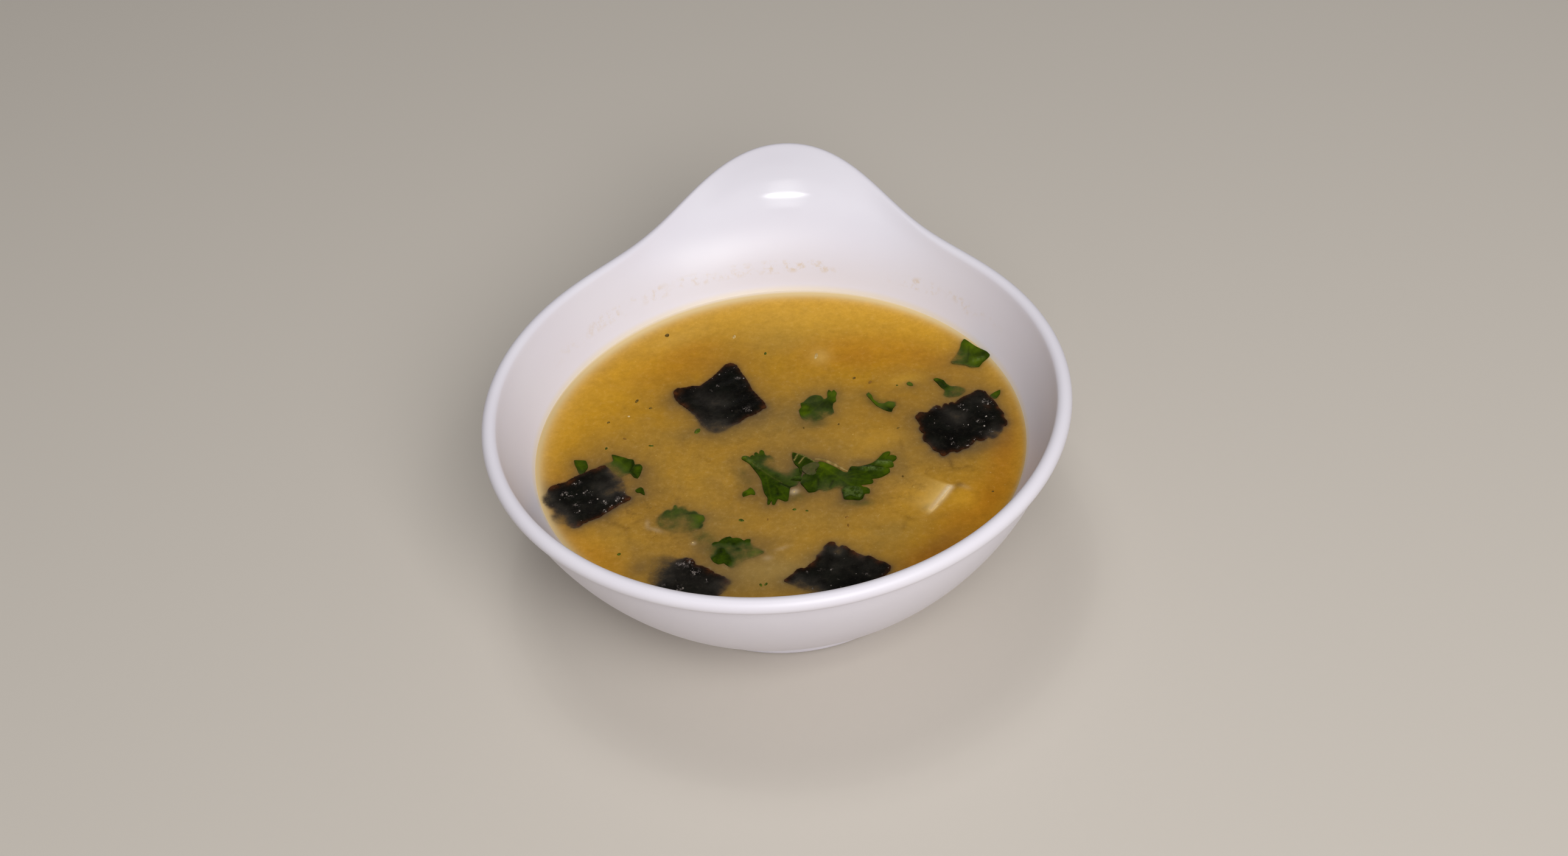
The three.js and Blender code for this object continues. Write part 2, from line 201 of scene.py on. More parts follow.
def outer_radius(height):
    """Radius of the round bowl's outer curve at a height."""
    rise = np.minimum((height - WALL_POLE) / (WALL_TOP - WALL_POLE), 1)
    return WALL_RADIUS * (1 - (1 - rise) ** WALL_SIDE_POWER) ** (1 / WALL_BELLY_POWER)


def inner_radius(height):
    """Radius of its inner curve at a height."""
    rise = np.maximum((height - FLOOR_HEIGHT) / (LIP_HEIGHT - FLOOR_HEIGHT), 0)
    return BORE_RADIUS * rise ** (1 / BORE_POWER)


def inner_height(radius):
    """Height of its inner curve at a radius."""
    return FLOOR_HEIGHT + (LIP_HEIGHT - FLOOR_HEIGHT) * (radius / BORE_RADIUS) ** BORE_POWER


def lean_out(height):
    """0 where the wall stands as on the round rim, 1 at the lip, where the handle has its reach."""
    return np.clip((height - HANDLE_START) / (LIP_HEIGHT - HANDLE_START), 0, 1)


def wall_middle(height, share):
    """Radius and height of the middle of the wall, drawn out and raised by a share of the handle."""
    lean = lean_out(height)
    lip_offset = LIP_RADIUS - LIP_THICKNESS / 2 - (WALL_RADIUS + BORE_RADIUS) / 2
    radius = (outer_radius(height) + inner_radius(height)) / 2
    radius = radius + (HANDLE_REACH + lip_offset) * share * lean**3
    return radius, height + HANDLE_RISE * share * np.sin(np.pi / 2 * lean) ** 1.5


def wall_turn(height, share):
    """How far the handle has turned the wall over, in radians."""
    step = 0.02
    headings = []
    for part in (0, share):
        radius, top = wall_middle(height, part)
        radius_below, below = wall_middle(height - step, part)
        headings.append(np.arctan2(top - below, radius - radius_below))
    return headings[0] - headings[1]


def wall_face(height, share, side):
    """The outer face (side = 1) or the inner face (side = -1), as [radius, height] rows."""
    lean = lean_out(height) * share
    plain = (outer_radius(height) - inner_radius(height)) / 2
    half = plain * (1 - lean) + HANDLE_THICKNESS / 2 * lean
    turn = wall_turn(height, share)
    radius, middle = wall_middle(height, share)
    return np.column_stack([radius + side * half * np.cos(turn), middle - side * half * np.sin(turn)])


def arc(centre, radius, start, end, steps):
    """Points on an arc, from one angle to another, in radians."""
    angles = np.linspace(start, end, steps)
    return np.column_stack([centre[0] + radius * np.cos(angles), centre[1] + radius * np.sin(angles)])


def lip_arc(share):
    """The rolled lip, turned with the wall under it."""
    turn = wall_turn(np.array(LIP_HEIGHT), share)
    start, end = (
        math.radians(rim * (1 - share) + handle * share) - turn
        for rim, handle in zip(LIP_ARC_ON_RIM, LIP_ARC_ON_HANDLE)
    )
    radius = LIP_THICKNESS / 2
    centre = (LIP_RADIUS - radius + HANDLE_REACH * share, LIP_HEIGHT + HANDLE_RISE * share)
    return arc(centre, radius, start, end, LIP_STEPS)


def spread_rows(points, count, bend_worth):
    """The same curve with its points spread evenly, but closer where it bends."""
    step = np.diff(points, axis=0)
    length = np.hypot(step[:, 0], step[:, 1])
    heading = np.unwrap(np.arctan2(step[:, 1], step[:, 0]))
    bend = np.abs(np.diff(heading, prepend=heading[0]))
    measure = np.concatenate([[0], np.cumsum(length + bend / bend_worth)])
    even = np.linspace(0, measure[-1], count)
    return np.column_stack([np.interp(even, measure, points[:, axis]) for axis in (0, 1)])


def bowl_section(share):
    """Half section: from the middle of the recess, round the foot, up the outside, over the lip
    and down the inside to the middle of the floor."""
    inside = FOOT_RADIUS - FOOT_WIDTH
    rounding, steps, quarter = FOOT_ROUND, ROUND_STEPS, math.pi / 2
    outer_heights = np.linspace(FOOT_TOP + FOOT_FILLET, WALL_TOP, WALL_STEPS)
    inner_top = inner_radius(LIP_HEIGHT - LIP_SHOULDER)
    inner_heights = inner_height(np.linspace(inner_top, BORE_HOLE, BORE_STEPS))
    dense = np.vstack([
        [[0, FOOT_RECESS]],
        arc((inside - rounding, FOOT_RECESS - rounding), rounding, quarter, 0, steps),
        arc((inside + rounding, rounding), rounding, 2 * quarter, 3 * quarter, steps),
        arc((FOOT_RADIUS - rounding, rounding), rounding, 3 * quarter, 4 * quarter, steps),
        [[FOOT_RADIUS, FOOT_TOP - FOOT_FILLET]],
        wall_face(outer_heights, share, 1),
        lip_arc(share),
        wall_face(inner_heights, share, -1),
        [[0, FLOOR_HEIGHT]],
    ])
    fine = SOFTENING / 2
    total = np.hypot(*np.diff(dense, axis=0).T).sum()
    even = spread_rows(dense, int(total / fine), NO_BEND)
    offsets = np.arange(-SOFTENING_STEPS, SOFTENING_STEPS + 1) * fine
    weights = np.exp(-((offsets / SOFTENING) ** 2))
    weights /= weights.sum()
    padded = np.pad(even, ((SOFTENING_STEPS, SOFTENING_STEPS), (0, 0)), mode="edge")
    soft = np.column_stack([np.convolve(column, weights, "valid") for column in padded.T])
    soft[0], soft[-1] = even[0], even[-1]
    return spread_rows(soft, BOWL_ROWS, ROW_BEND)


def make_piece(name, points, faces, finish):
    """A smooth mesh from points in mm about the bowl's axis, as an object at the origin."""
    points = np.asarray(points, float).copy()
    points[:, :2] += AXIS
    mesh = bpy.data.meshes.new(name)
    mesh.from_pydata((points * MM).tolist(), [], faces)
    mesh.materials.append(finish)
    mesh.shade_smooth()
    piece = bpy.data.objects.new(name, mesh)
    bpy.context.scene.collection.objects.link(piece)
    return piece


def set_attribute(piece, name, values):
    """Stores a number for each point of a piece; a sheet's values are for its top and its bottom."""
    count = len(piece.data.vertices)
    full = np.zeros(count)
    for start in range(0, count, len(values)):
        full[start : start + len(values)] = values[: count - start]
    data = piece.data.attributes.get(name) or piece.data.attributes.new(name, "FLOAT", "POINT")
    data.data.foreach_set("value", full.astype(np.float32))


def pairs(ring):
    """Each point of a closed ring with the next one."""
    return zip(ring, [*ring[1:], ring[0]])


def band(low, high):
    """Faces between two closed rings of points."""
    return [(a, b, d, c) for (a, b), (c, d) in zip(pairs(low), pairs(high))]


def turned_mesh(sections, turns):
    """Points and faces of a solid turned about the axis, from one half section for each turn,
    which starts and ends on the axis and keeps the solid on its left."""
    angles = turns[:, None]
    radii, heights = sections[:, 1:-1, 0], sections[:, 1:-1, 1]
    rings = np.stack([radii * np.cos(angles), radii * np.sin(angles), heights], axis=-1)
    rings = rings.transpose(1, 0, 2)
    first, last = (0, 0, sections[0, 0, 1]), (0, 0, sections[0, -1, 1])
    points = [first, *rings.reshape(-1, 3), last]
    rows = np.arange(1, len(points) - 1).reshape(len(rings), -1).tolist()
    faces = [(0, b, a) for a, b in pairs(rows[0])]
    for low, high in zip(rows, rows[1:]):
        faces += band(low, high)
    faces += [(len(points) - 1, a, b) for a, b in pairs(rows[-1])]
    return points, faces


class Wire:
    """A socket in a node tree. Sums, differences and products of wires add Math nodes."""

    def __init__(self, tree, socket):
        self.tree = tree
        self.socket = socket

    def node(self, kind, settings=None, values=None, output=0):
        """Adds a node: its settings first, then the numbers, colours or wires of its sockets."""
        made = self.tree.nodes.new(kind)
        for name, value in (settings or {}).items():
            setattr(made, name, value)
        for name, value in (values or {}).items():
            if isinstance(value, Wire):
                self.tree.links.new(value.socket, made.inputs[name])
            else:
                made.inputs[name].default_value = value
        return Wire(self.tree, made.outputs[output])

    def math(self, operation, *values):
        return self.node("ShaderNodeMath", {"operation": operation}, dict(enumerate(values)))

    def __add__(self, other):
        return self.math("ADD", self, other)

    def __sub__(self, other):
        return self.math("SUBTRACT", self, other)

    def __rsub__(self, other):
        return self.math("SUBTRACT", other, self)

    def __mul__(self, other):
        return self.math("MULTIPLY", self, other)

    __radd__ = __add__
    __rmul__ = __mul__

    def clamp(self):
        return self.node("ShaderNodeClamp", None, {"Value": self})

    def ramp(self, low, high):
        """0 below low, 1 above high, and smooth between."""
        values = {"Value": self, "From Min": low, "From Max": high}
        return self.node("ShaderNodeMapRange", {"interpolation_type": "SMOOTHSTEP"}, values)

    def noise(self, size, detail=2.0, roughness=0.5, distortion=0.0):
        """Cloudy noise about 0.5, with lumps of a size in mm, where this wire is a place."""
        values = {"Vector": self, "Scale": 1 / (size * MM), "Detail": detail}
        values |= {"Roughness": roughness, "Distortion": distortion}
        return self.node("ShaderNodeTexNoise", None, values)

    def attribute(self, name):
        return self.node("ShaderNodeAttribute", {"attribute_name": name}, None, "Fac")

    def mix(self, first, second, amount):
        """A colour between two others."""
        settings = {"data_type": "RGBA", "clamp_factor": True}
        return self.node("ShaderNodeMix", settings, {0: amount, 6: first, 7: second}, 2)

    def scaled(self, amount):
        """A colour made lighter or darker by an amount."""
        return self.node("ShaderNodeVectorMath", {"operation": "SCALE"}, {0: self, "Scale": amount})

    def bump(self, height, strength, depth):
        """A surface pressed in and out by a height from 0 to 1, depth in mm."""
        values = {"Strength": strength, "Distance": depth * MM, "Height": height}
        return self.node("ShaderNodeBump", None, values)

    def split(self):
        """The three parts of a place."""
        return [self.node("ShaderNodeSeparateXYZ", None, {0: self}, part) for part in range(3)]

    def feed(self, name):
        """Leads this wire into a socket of the material's own shader."""
        self.tree.links.new(self.socket, self.tree.nodes["Principled BSDF"].inputs[name])


def new_finish(name, **constants):
    """A material with the given constants, and the wire that carries the place on the piece."""
    finish = bpy.data.materials.new(name)
    finish.use_nodes = True
    shader = finish.node_tree.nodes["Principled BSDF"]
    for socket, value in constants.items():
        shader.inputs[socket.replace("_", " ")].default_value = value
    place = finish.node_tree.nodes.new("ShaderNodeTexCoord")
    return finish, Wire(finish.node_tree, place.outputs["Object"])


def paint(red, green, blue):
    """A colour as seen on a screen, each part 0 to 255, as the light it reflects."""
    light = [((part / 255 + 0.055) / 1.055) ** 2.4 if part > 10 else part / 255 / 12.92
             for part in (red, green, blue)]
    return (*light, 1)


GLAZE = paint(228, 224, 231)
GLAZE_SHADE = paint(222, 216, 225)
DRIED_BROTH = paint(212, 190, 158)
FILM_OF_BROTH = paint(227, 212, 188)
FILM_FOOT, FILM_TOP = 29.8, 31.3  # heights between which the film of broth on the wall thins out
FILM_STRENGTH = 0.75
TIDE_LOW, TIDE_HIGH = 34.4, 35.4  # heights of the splashes that dried on the back wall
TIDE_BLUR = 1.2
TIDE_START, TIDE_FULL = 8, 36  # how far back they begin, and where they are thickest
TIDE_STRENGTH = 0.6
THUMB_X, THUMB_Y = 0.5, 54.6  # middle of the patch of the handle that thumbs have polished
THUMB_LOW, THUMB_HIGH = 43, 44.5  # heights between which the polish begins
THUMB_CORE, THUMB_REACH = 1, 6.5  # how far from its middle the polish fades
THUMB_POLISH = 0.6
MELAMINE_ROUGHNESS = 0.4

melamine, place = new_finish("melamine", IOR=1.5, Coat_Roughness=0.09)
x, y, z = (part * (1 / MM) for part in place.split())
tide = z.ramp(TIDE_LOW - TIDE_BLUR, TIDE_LOW) * (1 - z.ramp(TIDE_HIGH, TIDE_HIGH + TIDE_BLUR))
tide = tide * y.ramp(TIDE_START, TIDE_FULL)
splash = place.noise(1.8, 5, 0.65).ramp(0.46, 0.64) * place.noise(9, 2).ramp(0.4, 0.56)
inner = place.attribute("inner")
film = (1 - z.ramp(FILM_FOOT, FILM_TOP)) * FILM_STRENGTH
clean = place.mix(GLAZE, GLAZE_SHADE, place.noise(22, 3))
clean = place.mix(clean, FILM_OF_BROTH, film * inner)
place.mix(clean, DRIED_BROTH, tide * splash * inner * TIDE_STRENGTH).feed("Base Color")
across, along = x - THUMB_X, y - THUMB_Y
from_thumb = across.math("SQRT", across * across + along * along)
polished = z.ramp(THUMB_LOW, THUMB_HIGH) * (1 - from_thumb.ramp(THUMB_CORE, THUMB_REACH))
(polished * THUMB_POLISH).feed("Coat Weight")
(MELAMINE_ROUGHNESS + place.noise(6, 4) * 0.06).feed("Roughness")
place.bump(place.noise(14, 2), 0.12, 0.4).feed("Normal")

turns = np.arange(BOWL_TURNS) / BOWL_TURNS * 2 * np.pi
sections = np.stack([bowl_section(share) for share in handle_share(turns)])
bowl = make_piece("melamine_bowl", *turned_mesh(sections, turns), melamine)
lip_rows = sections[:, 1:-1, 1].argmax(1)
after_lip = np.arange(BOWL_ROWS - 2)[:, None] > lip_rows
set_attribute(bowl, "inner", np.concatenate([[0], after_lip.ravel(), [1]]).astype(float))
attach(bowl, "root")
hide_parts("bowl")

# --- Broth ------------------------------------------------------------------------------------
# Cloudy miso broth, poured to a level in the bowl. It is golden where it is clear, khaki where the
# paste hangs in it, and climbs the wall a little in a bright thin edge. Its clouds are attributes,
# which the section on clouding works out once everything that floats is in place.

LEVEL = soup_high.z / MM
LEVEL_RADIUS = inner_radius(LEVEL)
WALL_OVERLAP = 0.3  # how far the broth reaches into the wall, so that no gap shows
CLIMB = (0.3, 0.06)  # how far it climbs the wall, in a broad foot and a steep tip
CLIMB_WIDTH = (1.6, 0.3)
BROTH_CELLS = 280  # across the surface
BROTH_CROWDING = 1.15  # above 1, the cells are smaller near the wall
BROTH_ROWS = 8  # from the surface down to the floor
BROTH_ROUGHNESS = 0.3
RIM_ROUGHNESS = 0.4  # how much rougher the thin edge is

GOLD = paint(184, 132, 20)
KHAKI = paint(143, 117, 62)
AMBER = paint(166, 96, 0)
EDGE_GOLD = paint(220, 166, 50)
THIN_BROTH = paint(198, 172, 124)
BRIGHT_THIN_BROTH = paint(218, 192, 142)  # towards the back, where the lamps strike it
WETTED_WALL = paint(226, 210, 190)
MILKY_BROTH = paint(176, 158, 124)
SEDIMENT = paint(116, 80, 14)
SHADED_BROTH = paint(80, 67, 50)
PALE_CURD = paint(226, 190, 112)
WHITE_CURD = paint(226, 204, 170)
NORI_BLACK = paint(6, 5, 3)
NORI_GREEN = paint(11, 12, 7)
NORI_PAINTED_SHEEN = paint(29, 26, 20)
NORI_HAZE = paint(66, 61, 55)
LEAF_DARK = paint(28, 42, 1)
LEAF_GREEN = paint(51, 68, 1)
LEAF_HAZE = paint(72, 79, 42)


def nori_colour(place):
    colour = place.mix(NORI_BLACK, NORI_GREEN, place.noise(4, 3).ramp(0.4, 0.65))
    # Grey lumps on the black are painted sheen, where the wet seaweed catches the light.
    return place.mix(colour, NORI_PAINTED_SHEEN, place.noise(1.2, 5, 0.75).ramp(0.48, 0.74))


def leaf_colour(place):
    return place.mix(LEAF_DARK, LEAF_GREEN, place.noise(1.8, 4, 0.6).ramp(0.3, 0.68))


def seen_in_broth(place, own, haze, broth, hidden):
    """A thing that hangs in the broth: its own colour, a haze where it is deeper, then only broth."""
    ragged = (hidden + hidden * (1 - hidden) * (place.noise(2.0, 5, 0.65) - 0.5) * 4).clamp()
    return place.mix(own, place.mix(haze, broth, ragged.ramp(0.3, 1)), ragged)


def broth_colour(place):
    """The broth's colour at a place, for its own surface and for the broth over what is sunk."""
    khaki, amber, curdy, rim = (place.attribute(name) for name in ("khaki", "amber", "curdy", "rim"))
    # Paste hangs in it in clouds.
    clouds = place.noise(7, 4, 0.6, 0.7) - 0.5
    colour = place.mix(GOLD, KHAKI, (khaki + clouds * 0.6).clamp())
    colour = place.mix(colour, AMBER, (amber + clouds * 0.3).clamp())
    # Some of it gathers in brown threads and pale specks.
    thread = place.noise(2.4, 3, 0.55, 1.0) - 0.5
    thread = 1 - thread.math("ABSOLUTE", thread).ramp(0.0, 0.1)
    thread = thread * place.noise(2.6, 2).ramp(0.52, 0.66) * (0.1 + curdy * 0.9)
    colour = place.mix(colour, SEDIMENT, (thread * 0.8 + place.attribute("smudge")).clamp())
    colour = place.mix(colour, PALE_CURD, place.noise(0.7, 3).ramp(0.66, 0.78) * 0.35)
    colour = place.mix(colour, EDGE_GOLD, place.attribute("edge"))
    # Fine curds make it lighter and darker, floating things shade it, and some of it is milky.
    colour = colour.scaled(0.98 + (place.noise(2.2, 7, 0.85) - 0.5) * (0.9 + curdy))
    colour = place.mix(colour, SHADED_BROTH, place.attribute("shade"))
    milky = place.noise(1.1, 5, 0.8).ramp(0.5, 0.8) * (0.2 - amber * 0.18)
    colour = place.mix(colour, MILKY_BROTH, milky)
    # By the wall it is thin, and the wall shows through. Over the tofu it is pale.
    to_right, to_back, _ = (part * (1 / MM) for part in place.split())
    # The thin edge is painted lighter towards the back, where the lamps strike it, and painted shade
    # towards the right.
    thin = place.mix(THIN_BROTH, BRIGHT_THIN_BROTH, to_back.ramp(0, 32))
    thin = thin.scaled(1 - to_right.ramp(24, 46) * 0.15)
    colour = place.mix(colour, thin, rim.ramp(0, 0.95))
    colour = place.mix(colour, WETTED_WALL, rim.ramp(1.0, 1.6))
    colour = place.mix(colour, PALE_CURD, place.attribute("glow"))
    return place.mix(colour, WHITE_CURD, place.attribute("curd"))


def disc_cells(cells):
    """Places and faces of a unit disc of even, nearly square cells, and its border in order."""
    steps = np.linspace(-1, 1, cells + 1)
    across, along = (grid.ravel() for grid in np.meshgrid(steps, steps))
    wide = np.abs(across) >= np.abs(along)
    radius = np.where(wide, across, along)
    other = np.where(wide, along, across)
    turn = np.pi / 4 * other / np.where(radius == 0, 1, radius)
    turn = np.where(wide, turn, np.pi / 2 - turn)
    places = np.column_stack([radius * np.cos(turn), radius * np.sin(turn)])
    side = cells + 1
    corners = [row * side + column for row in range(cells) for column in range(cells)]
    faces = [(corner, corner + 1, corner + 1 + side, corner + side) for corner in corners]
    border = [*range(cells)]
    border += [row * side + cells for row in range(cells)]
    border += [side * side - 1 - column for column in range(cells)]
    border += [(cells - row) * side for row in range(cells)]
    return places, faces, border


def surface_height(places):
    """The level, and how it climbs near the wall."""
    from_wall = np.maximum(LEVEL_RADIUS - np.hypot(places[:, 0], places[:, 1]), 0)
    return LEVEL + sum(high * np.exp(-from_wall / width) for high, width in zip(CLIMB, CLIMB_WIDTH))


miso, place = new_finish("miso_broth", IOR=1.34, Specular_IOR_Level=0.14)
colour = broth_colour(place)
colour = seen_in_broth(place, leaf_colour(place), LEAF_HAZE, colour, 1 - place.attribute("green"))
colour = seen_in_broth(place, nori_colour(place), NORI_HAZE, colour, 1 - place.attribute("dark"))
colour.feed("Base Color")
(BROTH_ROUGHNESS + place.attribute("rim") * RIM_ROUGHNESS).feed("Roughness")
place.bump(place.noise(1.3, 4, 0.62) + place.noise(12, 2) * 2, 0.25, 0.05).feed("Normal")

places, faces, border = disc_cells(BROTH_CELLS)
spread = np.maximum(np.hypot(*places.T), 1e-9)[:, None]
places = places / spread * (1 - (1 - np.minimum(spread, 1)) ** BROTH_CROWDING)
places = places * (inner_radius(LEVEL + sum(CLIMB)) + WALL_OVERLAP)
points = [*np.column_stack([places, surface_height(places)])]
border_turns = np.arctan2(places[border, 1], places[border, 0])
above = border
for row in range(1, BROTH_ROWS + 1):
    radius = LEVEL_RADIUS * math.cos(math.pi / 2 * row / (BROTH_ROWS + 1))
    height = inner_height(radius)
    slope = BORE_POWER * (height - FLOOR_HEIGHT) / radius
    reach = WALL_OVERLAP / math.hypot(slope, 1)
    ring = (radius + reach * slope) * np.array([np.cos(border_turns), np.sin(border_turns)])
    below = [*range(len(points), len(points) + len(border))]
    points += [(x, y, height - reach) for x, y in ring.T]
    faces += band(below, above)
    above = below
faces += [(len(points), b, a) for a, b in pairs(above)]
points.append((0, 0, FLOOR_HEIGHT - WALL_OVERLAP))
broth = make_piece("broth", points, faces, miso)
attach(broth, "root")
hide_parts("soup")

# What floats in the broth, for the section on clouding: each thing has its outline, how its parts
# are sunk, and how it tints and shades the broth round it. The same clouds veil their pieces.
afloat, veiled = [], []

# --- Nori -------------------------------------------------------------------------------------
# Five squares torn from crisp roasted seaweed, soaked limp and almost black. Their torn edges
# are scalloped and let a little brown light through; parts of each hang under milky broth.

